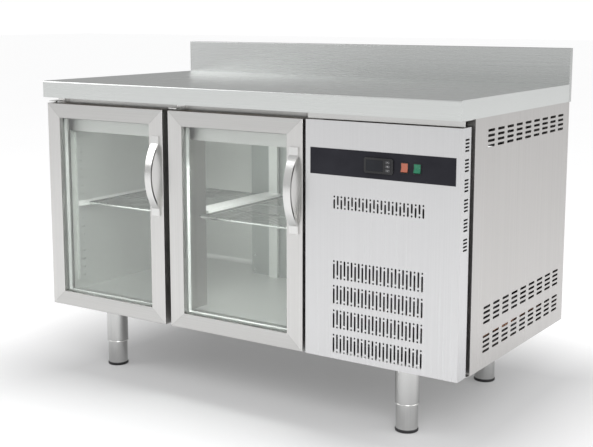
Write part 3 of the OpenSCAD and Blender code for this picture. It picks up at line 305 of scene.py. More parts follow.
# %% Steel tube, rod and liner, and aluminium
polished_steel = brushed_steel("polished_steel", "z", (0.62, 0.62, 0.61), (0.7, 0.7, 0.69), (0.14, 0.22))
mesh_steel = brushed_steel("mesh_steel", "y", (0.36, 0.375, 0.36), (0.46, 0.475, 0.46), (0.2, 0.3))
# the shelf runners' steel, also put on the cove as a painted highlight
runner_steel_and_cove_highlight = brushed_steel("runner_steel_and_cove_highlight", "y", (0.84, 0.85, 0.83), (0.9, 0.91, 0.89),
                             (0.28, 0.36), metallic=0.5)
housing_steel = brushed_steel("housing_steel", "z", (0.36, 0.39, 0.37), (0.42, 0.45, 0.43),
                              (0.34, 0.42))
leg_steel = brushed_steel("leg_steel", "z", (0.48, 0.48, 0.475), (0.56, 0.56, 0.555), (0.12, 0.2))
# painted highlight: the sleeve's rolled ring gets a lighter steel than the sleeve
painted_highlight_ring_steel = brushed_steel("painted_highlight_ring_steel", "z", (0.64, 0.64, 0.63), (0.72, 0.72, 0.71), (0.2, 0.28))
wire_steel = brushed_steel("wire_steel", "x", (0.66, 0.68, 0.66), (0.82, 0.84, 0.82), (0.14, 0.24))
liner_steel = brushed_steel("liner_steel", "z", (0.645, 0.665, 0.64), (0.7, 0.72, 0.695),
                            (0.34, 0.44), metallic=0.72)
fin_aluminium = brushed_steel("fin_aluminium", "z", (0.6, 0.6, 0.61), (0.78, 0.78, 0.8), (0.3, 0.45))
spacer_aluminium = brushed_steel("spacer_aluminium", "x", (0.84, 0.86, 0.84), (0.92, 0.94, 0.92),
                                 (0.25, 0.4), metallic=0.4)
print("bright steels, liner and aluminium")


# %% [markdown]
# ## Zinc and copper
#
# The tray and the electrical box are galvanised, which shows as spangle: flat grey patches with
# straight edges. Noise is too round for that, so a Voronoi texture draws the patches. Pipes are drawn
# copper, and hands and heat dull it in soft brown patches, which round noise does well.

# %% Galvanised sheet and copper tube
SPANGLE_PER_METRE = 70
DULL_PATCHES = (26, 26, 26)


def galvanised_sheet():
    """Zinc spangle."""
    finish, tree, shader, place = start_finish("galvanised_sheet", (0.5, 0.52, 0.53), 1.0, 0.45)
    cells = tree.nodes.new("ShaderNodeTexVoronoi")
    cells.inputs["Scale"].default_value = SPANGLE_PER_METRE
    tree.links.new(place, cells.inputs["Vector"])
    grey = tree.nodes.new("ShaderNodeRGBToBW")
    tree.links.new(cells.outputs["Color"], grey.inputs["Color"])
    tree.links.new(blend_colours(tree, grey.outputs["Val"], (0.42, 0.44, 0.45), (0.62, 0.64, 0.65)),
                   shader.inputs["Base Color"])
    tree.links.new(spread(tree, grey.outputs["Val"], 0.36, 0.55, 0, 1), shader.inputs["Roughness"])
    return finish


def copper_tube():
    """Drawn copper with brown patches where hands and heat have dulled it."""
    finish, tree, shader, place = start_finish("copper_tube", (0.86, 0.45, 0.28), 1.0, 0.3)
    dull = noise(tree, place, DULL_PATCHES, 4)
    tree.links.new(blend_colours(tree, spread(tree, dull, 0, 1), (0.42, 0.2, 0.12), (0.88, 0.47, 0.3)),
                   shader.inputs["Base Color"])
    tree.links.new(spread(tree, dull, 0.5, 0.22), shader.inputs["Roughness"])
    return finish


zinc = galvanised_sheet()
copper = copper_tube()
print("zinc and copper")

# %% [markdown]
# ## Glass
#
# The doors hold two sheets of float glass with a dry gap between them. A transmissive shader bends
# and reflects light as real glass does, but it also stops the lamps' light, so the cold room would
# be dark. The mix below lets shadow rays pass straight through and leaves every other ray alone.

# %% Glass for the doors
SMEARS = (9, 9, 5)
SMEAR_ROUGHNESS = 0.03


def clear_glass(name, tint, roughness):
    """Glass that lets shadow rays through."""
    finish, tree, shader, place = start_finish(name, tint, 0.0, roughness,
                                               Transmission_Weight=1.0, IOR=1.45)
    smears = noise(tree, place, SMEARS, 3)
    tree.links.new(spread(tree, smears, roughness, roughness + SMEAR_ROUGHNESS, 0.45, 0.8),
                   shader.inputs["Roughness"])
    through = tree.nodes.new("ShaderNodeBsdfTransparent")
    through.inputs["Color"].default_value = (*tint, 1)
    rays = tree.nodes.new("ShaderNodeLightPath")
    mix = tree.nodes.new("ShaderNodeMixShader")
    tree.links.new(rays.outputs["Is Shadow Ray"], mix.inputs["Fac"])
    tree.links.new(shader.outputs["BSDF"], mix.inputs[1])
    tree.links.new(through.outputs["BSDF"], mix.inputs[2])
    tree.links.new(mix.outputs["Shader"], tree.nodes["Material Output"].inputs["Surface"])
    return finish


pane_glass = clear_glass("pane_glass", (0.982, 0.994, 0.985), 0.0)
print("glass for the doors")

# %% [markdown]
# ## Plastic, rubber, paint, foam and board
#
# Moulded plastic has a fine spark-eroded grain and a soft sheen, rubber is rougher and a little grey,
# and the compressor's black paint has orange peel. They differ mostly in how large the grain is and
# how glossy the tops of it are, so one function makes them all from a short list.

# %% A surface with round grain
DUST = (14, 14, 14)


def grained(name, dark, light, rough, grain, relief, **sockets):
    """A coloured surface with round grain."""
    finish, tree, shader, place = start_finish(name, light, 0.0, rough[0], **sockets)
    fine = noise(tree, place, (grain, grain, grain), 3)
    dust = noise(tree, place, DUST, 4)
    tree.links.new(blend_colours(tree, spread(tree, dust, 0, 1), dark, light),
                   shader.inputs["Base Color"])
    tree.links.new(spread(tree, fine, rough[0], rough[1]), shader.inputs["Roughness"])
    raise_surface(tree, shader, fine, relief)
    return finish


print("one function for every grained surface")

# %% [markdown]
# ## The list of grained surfaces
#
# Each line gives a dark and a light colour, the roughness of the hollows and of the tops, how many
# grains lie in a metre and how deep they are. The glossy blacks get a lower specular level, because
# printed acrylic and glass over black look deeper than moulded plastic.

# %% Plastics and rubbers
black_gloss = grained("black_gloss", (0.012, 0.012, 0.016), (0.018, 0.018, 0.023), (0.14, 0.2),
                      500, 0.00001, Specular_IOR_Level=0.12)
black_plastic = grained("black_plastic", (0.014, 0.014, 0.015), (0.026, 0.026, 0.028), (0.36, 0.5),
                        1600, 0.00004, Specular_IOR_Level=0.3)
window_black = grained("window_black", (0.01, 0.011, 0.014), (0.016, 0.018, 0.022), (0.08, 0.13),
                       300, 0.00001, Specular_IOR_Level=0.2)
key_plastic = grained("key_plastic", (0.035, 0.035, 0.038), (0.055, 0.055, 0.06), (0.4, 0.55),
                      1800, 0.00004)
orange_plastic = grained("orange_plastic", (0.3, 0.085, 0.05), (0.36, 0.11, 0.065), (0.25, 0.38),
                         1500, 0.00003)
green_plastic = grained("green_plastic", (0.005, 0.11, 0.055), (0.008, 0.15, 0.075), (0.25, 0.38),
                        1500, 0.00003)
fan_plastic = grained("fan_plastic", (0.03, 0.03, 0.032), (0.055, 0.055, 0.06), (0.35, 0.5),
                      1500, 0.00004)
tray_plastic = grained("tray_plastic", (0.2, 0.2, 0.21), (0.28, 0.28, 0.29), (0.4, 0.55),
                       1300, 0.00005)
seal_rubber = grained("seal_rubber", (0.11, 0.115, 0.11), (0.19, 0.195, 0.19), (0.55, 0.75),
                      1200, 0.00006)
mount_rubber = grained("mount_rubber", (0.015, 0.015, 0.015), (0.035, 0.034, 0.033), (0.6, 0.8),
                       1200, 0.00008)
print("eight plastics and two rubbers")

# %% [markdown]
# ## Foam, board, paint and the lamp's cover
#
# Cut foam and chipboard are the roughest surfaces here, with grain that a finger can feel, and they
# show only where a door or a panel is open. The compressor is sprayed black. The cover of the inside
# light is opal plastic, so it glows a little by itself.

# %% Foam, board, paint and opal plastic
foam = grained("foam", (0.72, 0.62, 0.36), (0.86, 0.78, 0.52), (0.8, 0.95), 700, 0.0004)
board = grained("board", (0.34, 0.24, 0.14), (0.5, 0.38, 0.24), (0.7, 0.85), 400, 0.0002)
black_paint = grained("black_paint", (0.012, 0.012, 0.012), (0.03, 0.03, 0.03), (0.22, 0.36),
                      900, 0.00012)
lamp_diffuser = grained("lamp_diffuser", (0.84, 0.87, 0.85), (0.93, 0.95, 0.94), (0.35, 0.5),
                        900, 0.00004, Emission_Color=(1, 1, 0.97, 1), Emission_Strength=0.6)
print("foam, board, paint and opal plastic")

# %% [markdown]
# ## Giving each solid its finish
#
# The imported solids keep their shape. Each already has a material slot, so a finish is only put into
# that slot. A list by name is longer than guessing from the name's words, but it shows at a glance
# what each piece is made of, and a new piece without a finish is reported.

# %% Finishes by solid
FINISHES = {
    "side_panel_left": body_steel, "side_panel_right": body_steel, "back_panel": body_steel,
    "base_panel": level_steel, "lintels": level_steel, "sill": level_steel, "mullion": body_steel,
    "divider_panel": body_steel, "worktop": top_steel, "splashback": splash_steel,
    "service_panel": panel_steel, "liner_panels": liner_steel, "rack_uprights": liner_steel,
    "evaporator_housing": housing_steel, "shelf_runners": runner_steel_and_cove_highlight, "shelf_left": wire_steel,
    "shelf_right": wire_steel, "leg_sockets": leg_steel, "hinge_brackets": polished_steel,
    "screws": polished_steel, "door_handle_left": polished_steel, "door_handle_right": polished_steel,
    "foot_front_left": leg_steel, "foot_front_right": leg_steel,
    "foot_rear_left": leg_steel, "foot_rear_right": leg_steel,
    "door_frame_left": door_steel["left"], "door_frame_right": door_steel["right"],
    "evaporator_coil": fin_aluminium, "condenser_coil": fin_aluminium,
    "door_spacer_left": spacer_aluminium, "door_spacer_right": spacer_aluminium,
    "electrical_box": zinc, "machine_tray": zinc, "copper_pipes": copper,
    "door_glass_left": pane_glass, "door_glass_right": pane_glass,
    "door_seal_left": seal_rubber, "door_seal_right": seal_rubber, "compressor_mounts": mount_rubber,
    "insulation_slabs": foam, "worktop_core": board, "control_fascia": black_gloss,
    "controller": black_plastic, "rocker_housings": black_plastic, "evaporator_motor": black_plastic,
    "cable_gland": black_plastic, "display_window": window_black, "key_set": key_plastic,
    "key_up": key_plastic, "key_down": key_plastic, "power_rocker": orange_plastic,
    "light_rocker": green_plastic, "condenser_fan": fan_plastic, "evaporator_fan": fan_plastic,
    "evaporation_tray": tray_plastic, "interior_light": lamp_diffuser, "compressor": black_paint,
    "fan_shroud": black_paint, "condenser_motor": black_paint,
}
for name, finish in FINISHES.items():
    for slot in nodes[name].material_slots:
        slot.material = finish
unfinished = sorted(set(nodes) - set(FINISHES))
print(len(FINISHES), "solids have a finish, left over:", unfinished)

# %% [markdown]
# ## Rounded edges
#
# Sheet that is folded or cut has a small radius at each edge, and that radius is what catches a line
# of light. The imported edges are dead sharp, so a weld and a narrow bevel go on the pieces whose edges
# face the viewer. Modifiers do it without moving or redrawing the measured solid.

# %% Rounded edges on the folded sheet
WELD_DISTANCE = 0.00002
SHARP_EDGE = 35
EDGE_RADIUS = {
    "worktop": 0.0012, "splashback": 0.0008, "door_frame_left": 0.0009, "door_frame_right": 0.0009,
    "control_fascia": 0.0005, "controller": 0.0004, "rocker_housings": 0.0005,
    "display_window": 0.0004, "power_rocker": 0.0004, "light_rocker": 0.0004, "key_set": 0.0003,
    "key_up": 0.0003, "key_down": 0.0003, "mullion": 0.0006, "lintels": 0.0006, "sill": 0.0006,
    "interior_light": 0.0008, "hinge_brackets": 0.0004, "compressor": 0.0015,
    "condenser_motor": 0.0006, "evaporator_motor": 0.0006, "fan_shroud": 0.0004,
    "electrical_box": 0.0006, "evaporation_tray": 0.0006, "compressor_mounts": 0.0005,
}


def round_edges(piece, radius):
    """Welds the corners of a solid together and rounds its sharp edges."""
    weld = piece.modifiers.new("weld", "WELD")
    weld.merge_threshold = WELD_DISTANCE
    bevel = piece.modifiers.new("edge", "BEVEL")
    bevel.width = radius
    bevel.segments = 2
    bevel.limit_method = "ANGLE"
    bevel.angle_limit = math.radians(SHARP_EDGE)
    bevel.harden_normals = True


for name, radius in EDGE_RADIUS.items():
    round_edges(nodes[name], radius)
print("rounded edges on", len(EDGE_RADIUS), "solids")

# %% [markdown]
# ## Shapes from lists of points
#
# Small fittings are turned, bent or folded, and each of those can be said in a few numbers. A turned
# part is a profile of radii and heights swept round an axis. Writing the corners straight into a mesh
# gives clean, closed pieces with as many facets as they need, which a stack of ready-made cylinders
# would not.

# %% Turn a profile
def along_axis(axis, centre, across, up, along):
    """A point beside an axis: centre holds the other two coordinates in the order x, y, z."""
    first, second = centre[0] + across, centre[1] + up
    return {"x": (along, first, second), "y": (first, along, second), "z": (first, second, along)}[axis]


def turn_shape(profile, centre, axis="z", ring=False, sides=48):
    """Corners and faces of a profile of (radius, place along the axis). A ring has an open middle."""
    corners = []
    for radius, along in profile:
        for step in range(sides):
            turn = 2 * math.pi * step / sides
            across, up = radius * math.cos(turn), radius * math.sin(turn)
            corners.append(along_axis(axis, centre, across, up, along))
    rows = len(profile)
    faces = []
    for row in range(rows if ring else rows - 1):
        above = (row + 1) % rows
        for step in range(sides):
            after = (step + 1) % sides
            faces.append((row * sides + step, row * sides + after,
                          above * sides + after, above * sides + step))
    if not ring:
        faces.append(tuple(range(sides)))
        faces.append(tuple((rows - 1) * sides + step for step in range(sides)))
    return corners, faces


def middle(low, high):
    """The point halfway between two corners."""
    return [(a + b) / 2 for a, b in zip(low, high)]


print("shapes: turned parts with a full or an open middle")

# %% [markdown]
# ## From corners to a piece
#
# A piece that is made here has to move with the right body of the imported model. One function builds
# the mesh from any number of shapes, with every face looking outwards, and another shades it, gives it
# its finish and sets it on its body.

# %% Build a piece from shapes
TURNED_CREASE = 38


def seat_piece(name, mesh, body, finish, crease):
    """A smooth piece from a mesh, creased above an angle, riding on a body."""
    mesh.polygons.foreach_set("use_smooth", [True] * len(mesh.polygons))
    mesh.set_sharp_from_angle(angle=math.radians(crease))
    mesh.materials.clear()
    mesh.materials.append(finish)
    piece = bpy.data.objects.new(name, mesh)
    bpy.context.scene.collection.objects.link(piece)
    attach(piece, body)
    return piece


def make_piece(name, shapes, body, finish):
    """One piece from any number of shapes."""
    corners = []
    faces = []
    for shape_corners, shape_faces in shapes:
        start = len(corners)
        corners += shape_corners
        faces += [tuple(start + corner for corner in face) for face in shape_faces]
    mesh = bpy.data.meshes.new(name)
    mesh.from_pydata(corners, [], faces)
    tidy = bmesh.new()
    tidy.from_mesh(mesh)
    bmesh.ops.recalc_face_normals(tidy, faces=tidy.faces)
    tidy.to_mesh(mesh)
    tidy.free()
    return seat_piece(name, mesh, body, finish, TURNED_CREASE)


print("pieces can be made from lists of corners")

# %% [markdown]
# ## Feet and leg rings
#
# A counter foot is a steel tube that slides in a sleeve, with a black pad at the bottom that levels
# the counter. The rim of the sleeve is rolled into a ring, which is the bright line across each leg;
# the line is partly painted, because the ring takes a lighter steel than the sleeve it is rolled from.
# Two profiles make the foot's two materials, and both ride on the foot's own body, because the foot
# screws up and down while the ring stays with the sleeve. Both rims of each profile are rounded.

# %% A disc with rounded rims
def rounded_disc(radius, low, high, fillet, steps=4):
    """The outside of a disc or a tube from low to high, with rounded rims."""
    rim = []
    for step in range(steps + 1):
        turn = math.pi / 2 * step / steps
        rim.append((radius - fillet + fillet * math.sin(turn), low + fillet - fillet * math.cos(turn)))
    for step in range(steps + 1):
        turn = math.pi / 2 * step / steps
        rim.append((radius - fillet + fillet * math.cos(turn), high - fillet + fillet * math.sin(turn)))
    return rim


print("a rounded disc has", len(rounded_disc(1, 0, 1, 0.1)), "points in its profile")

# %% [markdown]
# ## Setting the feet and rings
#
# The foot's own box says how wide the pad is and how high the tube goes, so a leg of another length
# needs no new number. The ring is a short profile at the sleeve's lower rim. It could be a torus, but
# a rolled rim is taller than it is thick.

# %% Four feet and four rings
LEG_SIDES = 64
PAD_HEIGHT = 0.008
PAD_RIM = 0.0015
PAD_FILLET = 0.0025
TUBE_FILLET = 0.001
TUBE_IN_PAD = 0.0005
SLEEVE_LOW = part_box("leg_sockets")[0][2]
SLEEVE_RADIUS = 0.031
RING_SECTION = ((-0.0008, 0.0002), (0.0001, 0.0002), (0.0005, 0.0006), (0.0006, 0.0015),
                (0.0005, 0.0026), (0.0001, 0.0032), (-0.0008, 0.0032))
RING_PROFILE = [(SLEEVE_RADIUS + out, SLEEVE_LOW + up) for out, up in RING_SECTION]
for corner in ("front_left", "front_right", "rear_left", "rear_right"):
    name = "foot_" + corner
    low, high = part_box(name)
    centre = middle(low, high)[:2]
    radius = (high[0] - low[0]) / 2
    tube_profile = rounded_disc(radius - PAD_RIM, PAD_HEIGHT - TUBE_IN_PAD, high[2], TUBE_FILLET)
    tube_shape = turn_shape(tube_profile, centre, sides=LEG_SIDES)
    tube = make_piece(name + "_tube", [tube_shape], name, leg_steel)
    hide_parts(name)
    pad_profile = rounded_disc(radius, low[2], PAD_HEIGHT, PAD_FILLET)
    pad_shape = turn_shape(pad_profile, centre, sides=LEG_SIDES)
    make_piece(name + "_pad", [pad_shape], name, black_plastic)
    ring_shape = turn_shape(RING_PROFILE, centre, ring=True, sides=LEG_SIDES)
    # painted highlight: the ring is lighter steel than the sleeve it belongs to
    make_piece("leg_ring_" + corner, [ring_shape], "root", painted_highlight_ring_steel)
print("four feet, each", round(high[2] - low[2], 3), "m tall, and a ring on each sleeve")

# %% [markdown]
# ## Wire and pipe
#
# A curve with a round bevel is the natural way to make wire: each spline is one wire, and all the
# wires of one thickness are one object. The curve is turned into a mesh at the end, so that its size
# can be measured like the rest.

# %% One object of many straight or bent wires
WIRE_CREASE = 50


def wires(name, runs, radius, body, finish, roundness=2):
    """Round wires along lists of points, as one mesh piece."""
    curve = bpy.data.curves.new(name + "_line", "CURVE")
    curve.dimensions = "3D"
    curve.bevel_depth = radius
    curve.bevel_resolution = roundness
    curve.use_fill_caps = True
    for points in runs:
        spline = curve.splines.new("POLY")
        spline.points.add(len(points) - 1)
        for point, place in zip(spline.points, points):
            point.co = (*place, 1)
    line = bpy.data.objects.new(name + "_line", curve)
    bpy.context.scene.collection.objects.link(line)
    view = bpy.context.evaluated_depsgraph_get()
    mesh = bpy.data.meshes.new_from_object(line.evaluated_get(view))
    bpy.data.objects.remove(line)
    bpy.data.curves.remove(curve)
    return seat_piece(name, mesh, body, finish, WIRE_CREASE)


print("wires can be drawn along lists of points")

# %% [markdown]
# ## Wire shelves
#
# Each shelf is a frame of thick rod, bent at its corners, with thin wires welded across it. The
# shelf's own box gives the size, and the wires are spaced evenly from its middle, so that the two
# shelves match.

# %% Two wire shelves
FRAME_ROD = 0.0033
THIN_WIRE = 0.0012
WIRE_PITCH = 0.0135
SHELF_CORNER = 0.012
CORNER_STEPS = 6


def rod_frame(left, right, front, back, height):
    """The line of a rod round a rectangle with bent corners."""
    low_x = left + FRAME_ROD + SHELF_CORNER
    high_x = right - FRAME_ROD - SHELF_CORNER
    low_y = front + FRAME_ROD + SHELF_CORNER
    high_y = back - FRAME_ROD - SHELF_CORNER
    centres = ((high_x, high_y), (low_x, high_y), (low_x, low_y), (high_x, low_y))
    rim = []
    for quarter, (x, y) in enumerate(centres):
        for step in range(CORNER_STEPS + 1):
            turn = math.pi / 2 * (quarter + step / CORNER_STEPS)
            rim.append((x + SHELF_CORNER * math.cos(turn), y + SHELF_CORNER * math.sin(turn), height))
    return rim + [rim[0]]


def wire_shelf(name):
    """A shelf inside the box of its solid: a rod frame, two cross rods and thin wires over them."""
    (left, front, bottom), (right, back, top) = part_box(name)
    rod_height = bottom + FRAME_ROD
    rods = [rod_frame(left, right, front, back, rod_height)]
    for share in (1 / 3, 2 / 3):
        y = front + (back - front) * share
        rods.append([(left + FRAME_ROD, y, rod_height), (right - FRAME_ROD, y, rod_height)])
    frame_piece = wires(name + "_frame", rods, FRAME_ROD, "root", wire_steel)
    count = int((right - left - 4 * FRAME_ROD) / WIRE_PITCH)
    start = (left + right - count * WIRE_PITCH) / 2
    height = top - THIN_WIRE
    runs = []
    for number in range(count + 1):
        x = start + number * WIRE_PITCH
        runs.append([(x, front + FRAME_ROD, height), (x, back - FRAME_ROD, height)])
    wires(name + "_wires", runs, THIN_WIRE, "root", mesh_steel, roundness=1)
    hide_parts(name)
    return count + 1


print("wires on the shelves:", wire_shelf("shelf_left"), wire_shelf("shelf_right"))

# %% [markdown]
# ## Door seals
#
# A fridge door closes on a soft magnetic seal. Its section is a hollow bellows, wider at the foot and
# pinched in the middle, so that it can stretch to the cabinet. The corners are welded at 45 degrees,
# so the section is carried round a rectangle with a plain mitre at each corner. Extruding four
# lengths and joining them would leave seams.

# %% A section carried round each door
def frame_shape(low, high, section):
    """A closed section of (inset, depth) points carried round an upright rectangle."""
    corners = []
    faces = []
    for inset, depth in section:
        corners += [(low[0] + inset, depth, low[2] + inset), (high[0] - inset, depth, low[2] + inset),
                    (high[0] - inset, depth, high[2] - inset), (low[0] + inset, depth, high[2] - inset)]
    count = len(section)
    for point in range(count):
        after = (point + 1) % count
        for side in range(4):
            turn = (side + 1) % 4
            faces.append((point * 4 + side, point * 4 + turn, after * 4 + turn, after * 4 + side))
    return corners, faces


SEAL_SECTION = ((0, 0), (0.0004, 0.25), (0.0012, 0.42), (0.0003, 0.58), (0.0002, 0.78),
                (0.0014, 0.94), (0.003, 1.0), (0.007, 1.0), (0.0086, 0.94), (0.0098, 0.78),
                (0.0097, 0.58), (0.0088, 0.42), (0.0096, 0.25), (0.01, 0))
for side in ("left", "right"):
    low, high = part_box("door_seal_" + side)
    section = [(inset, low[1] + share * (high[1] - low[1])) for inset, share in SEAL_SECTION]
    seal = make_piece("bellows_seal_" + side, [frame_shape(low, high, section)], "door_" + side,
                      seal_rubber)
    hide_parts("door_seal_" + side)
print("two bellows seals of", len(SEAL_SECTION), "points each")

# %% [markdown]
# ## The cove along the back of the cold room
#
# A cold room is washed out, so the joint between its floor and its back wall isn't a sharp inside
# corner but a small hollow curve, and that curve holds a thin bright line. The line is partly painted:
# the curve catches real light, but it takes the brighter steel of the shelf runners instead of the
# liner's, which paints it lighter. It is a quarter round seen from the hollow side, drawn as a short
# row of points and pulled along the wall.

# %% A hollow strip between the floor and the back wall
COVE_RADIUS = 0.012
COVE_STEPS = 8
COVE_PROUD = 0.0002
HOUSING_GAP = 0.001
ROOM_LEFT = -0.625
ROOM_RIGHT = 0.207


def cove_shape(start, end, wall, ground):
    """A hollow quarter round along X, against a wall at the back."""
    section = [(wall, ground)]
    for step in range(COVE_STEPS + 1):
        turn = math.pi / 2 * step / COVE_STEPS
        section.append((wall - COVE_RADIUS + COVE_RADIUS * math.cos(turn),
                        ground + COVE_RADIUS - COVE_RADIUS * math.sin(turn)))
    count = len(section)
    corners = [(x, y, z) for x in (start, end) for y, z in section]
    faces = [(i, (i + 1) % count, count + (i + 1) % count, count + i) for i in range(count)]
    return corners, faces + [tuple(range(count)), tuple(range(count, 2 * count))]


housing_low, housing_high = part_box("evaporator_housing")
cove_wall = housing_high[1] - COVE_PROUD
cove_floor = housing_low[2] + COVE_PROUD
coves = [cove_shape(ROOM_LEFT, housing_low[0] - HOUSING_GAP, cove_wall, cove_floor),
         cove_shape(housing_high[0] + HOUSING_GAP, ROOM_RIGHT, cove_wall, cove_floor)]
# painted highlight: the cove takes the shelf runners' brighter steel, not the liner's
make_piece("floor_cove", coves, "root", runner_steel_and_cove_highlight)
print("cove against the wall at", round(cove_wall, 3), "m, on both sides of the evaporator's housing")

# %% [markdown]
# ## Screws and bolts
#
# The back and the evaporator's housing are held by pan-head screws with a socket, and the leg plates
# by hexagon bolts. A screw head catches a small round highlight, which tells the eye how large the
# sheet is. One profile, from the tip of the shank over the dome and down into the socket, makes a
# screw, and six sides instead of many make a hexagon head.

# %% One screw and one bolt
HEAD_RADIUS = 0.004
HEAD_DOME = 0.0022
HEAD_STEPS = 5
SHANK_RADIUS = 0.0018
TIP_RADIUS = 0.0002
BOLT_HEAD = ((0.0058, 0.0045), (0.0064, 0.004), (0.0064, 0.0002))
WASHER = ((0.0078, 0.0009), (0.008, 0.0007), (0.008, 0.0001), (0.0078, 0))


def pan_screw(x, z, seat, out, depth):
    """A screw along Y from its seat, with its head on the side that out (1 or -1) says."""
    profile = [(TIP_RADIUS, seat - out * depth), (SHANK_RADIUS, seat - out * (depth - 0.001)),
               (SHANK_RADIUS, seat), (HEAD_RADIUS, seat)]
    for step in range(HEAD_STEPS + 1):
        turn = math.radians(12 + 52 * step / HEAD_STEPS)
        profile.append((HEAD_RADIUS * math.cos(turn), seat + out * HEAD_DOME * math.sin(turn)))
    profile += [(0.0014, seat + out * HEAD_DOME), (0.0013, seat + out * 0.0008),
                (TIP_RADIUS, seat + out * 0.0007)]
    return turn_shape(profile, (x, z), "y", sides=24)


def hexagon_bolt(x, y, plate):
    """A bolt head under a plate, with its shank in the plate."""
    head = [(radius, plate - drop) for radius, drop in BOLT_HEAD]
    washer = [(radius, plate - drop) for radius, drop in WASHER]
    return [turn_shape(head, (x, y), sides=6), turn_shape(washer, (x, y), sides=32)]


print("a pan-head screw of", HEAD_RADIUS * 2000, "mm and a hexagon bolt")

# %% [markdown]
# ## Where the screws and bolts sit
#
# The back is held by a column of screws at each side, the evaporator's housing by four at each of its
# ends, and each leg by four bolts round its plate. Rows and columns are loops, which say the spacing
# once, and all the screws are one piece, because they are bought as one line on the parts list.

# %% All screws and bolts
BACK_SEAT = 0.35
BACK_COLUMN = 0.663
BACK_ROWS = (0.24, 0.4073, 0.5747, 0.742)
HOUSING_INSET = 0.012
HOUSING_ROWS = (0.229, 0.275, 0.6955, 0.7415)
SCREW_DEPTH = 0.006
LEG_COLUMNS = (-0.4925, 0.4925)
LEG_ROWS = (-0.241, 0.232)
PLATE_BOLT = 0.027
PLATE_UNDERSIDE = 0.175

screw_shapes = []
for x in (-BACK_COLUMN, BACK_COLUMN):
    for z in BACK_ROWS:
        screw_shapes.append(pan_screw(x, z, BACK_SEAT, 1, SCREW_DEPTH))
for x in (housing_low[0] + HOUSING_INSET, housing_high[0] - HOUSING_INSET):
    for z in HOUSING_ROWS:
        screw_shapes.append(pan_screw(x, z, housing_low[1], -1, SCREW_DEPTH))
for leg_x in LEG_COLUMNS:
    for leg_y in LEG_ROWS:
        for dx in (-PLATE_BOLT, PLATE_BOLT):
            for dy in (-PLATE_BOLT, PLATE_BOLT):
                screw_shapes += hexagon_bolt(leg_x + dx, leg_y + dy, PLATE_UNDERSIDE)
screw_piece = make_piece("screws_and_bolts", screw_shapes, "root", polished_steel)
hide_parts("screws")

# %% [markdown]
# ## Marks on the keys
#
# The controller's keys carry plain printed marks, an arrow up, a ring and an arrow down. They are
# drawn as very thin raised lines, so they stay crisp and move with the keys.

# %% Arrow up, ring and arrow down
mark_white = grained("mark_white", (0.5, 0.5, 0.5), (0.62, 0.62, 0.62), (0.4, 0.5), 1500, 0.00001)
MARK_LINE = 0.00028
MARK_RING = 0.0014
RING_TURNS = [step * math.pi / 8 for step in range(17)]
KEY_MARKS = {
    "key_up": [(-0.0022, -0.001), (0, 0.0012), (0.0022, -0.001)],
    "key_set": [(MARK_RING * math.cos(turn), MARK_RING * math.sin(turn)) for turn in RING_TURNS],
    "key_down": [(-0.0022, 0.001), (0, -0.0012), (0.0022, 0.001)],
}
for key, points in KEY_MARKS.items():
    low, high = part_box(key)
    x, _, z = middle(low, high)
    mark = [(x + dx, low[1], z + dz) for dx, dz in points]
    wires(key + "_mark", [mark], MARK_LINE, key, mark_white)
print("marks on", len(KEY_MARKS), "keys")

# %% [markdown]
# ## Fan blades
#
# Both fans are moulded in one piece: a cupped hub and swept blades that twist from hub to tip. A
# blade is a small grid of points. The angle round the shaft grows along the chord, the place along
# the shaft follows it with a little camber, and the tip is swept back. Two such grids a blade's
# thickness apart, joined at the rim, make a closed blade.

# %% A swept blade
BLADE_ROWS = 7
BLADE_COLUMNS = 6
BLADE_THICKNESS = 0.0016
TIP_ROUNDING = 0.22
TIP_SWEEP = 0.28
TIP_UNTWIST = 0.35
CAMBER = 0.3


def blade_corners(axis, centre, hub, tip, along, depth, turn, spread_angle):
    """The points of both faces of a blade, from the hub to the tip."""
    corners = []
    for layer in (-0.5, 0.5):
        for row in range(BLADE_ROWS):
            share = row / (BLADE_ROWS - 1)
            radius = hub + (tip - hub) * share
            for column in range(BLADE_COLUMNS):
                chord = column / (BLADE_COLUMNS - 1) - 0.5
                rounding = 1 - TIP_ROUNDING * (2 * chord) ** 2 * share
                angle = turn + chord * spread_angle * rounding + TIP_SWEEP * share ** 2
                lean = chord * (1 - TIP_UNTWIST * share) + CAMBER * (0.25 - chord * chord)
                rise = along + depth * lean
                across, up = radius * math.cos(angle), radius * math.sin(angle)
                corners.append(along_axis(axis, centre, across, up, rise + layer * BLADE_THICKNESS))
    return corners


def blade_faces():
    """The faces that close a blade: two grids and the rim between them."""
    faces = []
    sheet = BLADE_ROWS * BLADE_COLUMNS
    rim = [(0, column) for column in range(BLADE_COLUMNS)]
    rim += [(row, BLADE_COLUMNS - 1) for row in range(1, BLADE_ROWS)]
    rim += [(BLADE_ROWS - 1, column) for column in range(BLADE_COLUMNS - 2, -1, -1)]
    rim += [(row, 0) for row in range(BLADE_ROWS - 2, 0, -1)]
    for row in range(BLADE_ROWS - 1):
        for column in range(BLADE_COLUMNS - 1):
            first = row * BLADE_COLUMNS + column
            quad = (first, first + 1, first + 1 + BLADE_COLUMNS, first + BLADE_COLUMNS)
            faces += [quad, tuple(sheet + corner for corner in quad)]
    for one, two in zip(rim, rim[1:] + rim[:1]):
        a = one[0] * BLADE_COLUMNS + one[1]
        b = two[0] * BLADE_COLUMNS + two[1]
        faces.append((a, b, sheet + b, sheet + a))
    return faces


print("a blade closes with", len(blade_faces()), "faces")

# %% [markdown]
# ## Two moulded fans
#
# The large fan draws air through the condenser and the small one blows it over the evaporator. They
# are the same moulding in two sizes, so one function makes both from the box of each solid. The hub
# is a ring, cupped at the front, with its bore on the motor's shaft.

# %% A hub with its blades
FAN_BLADES = 5


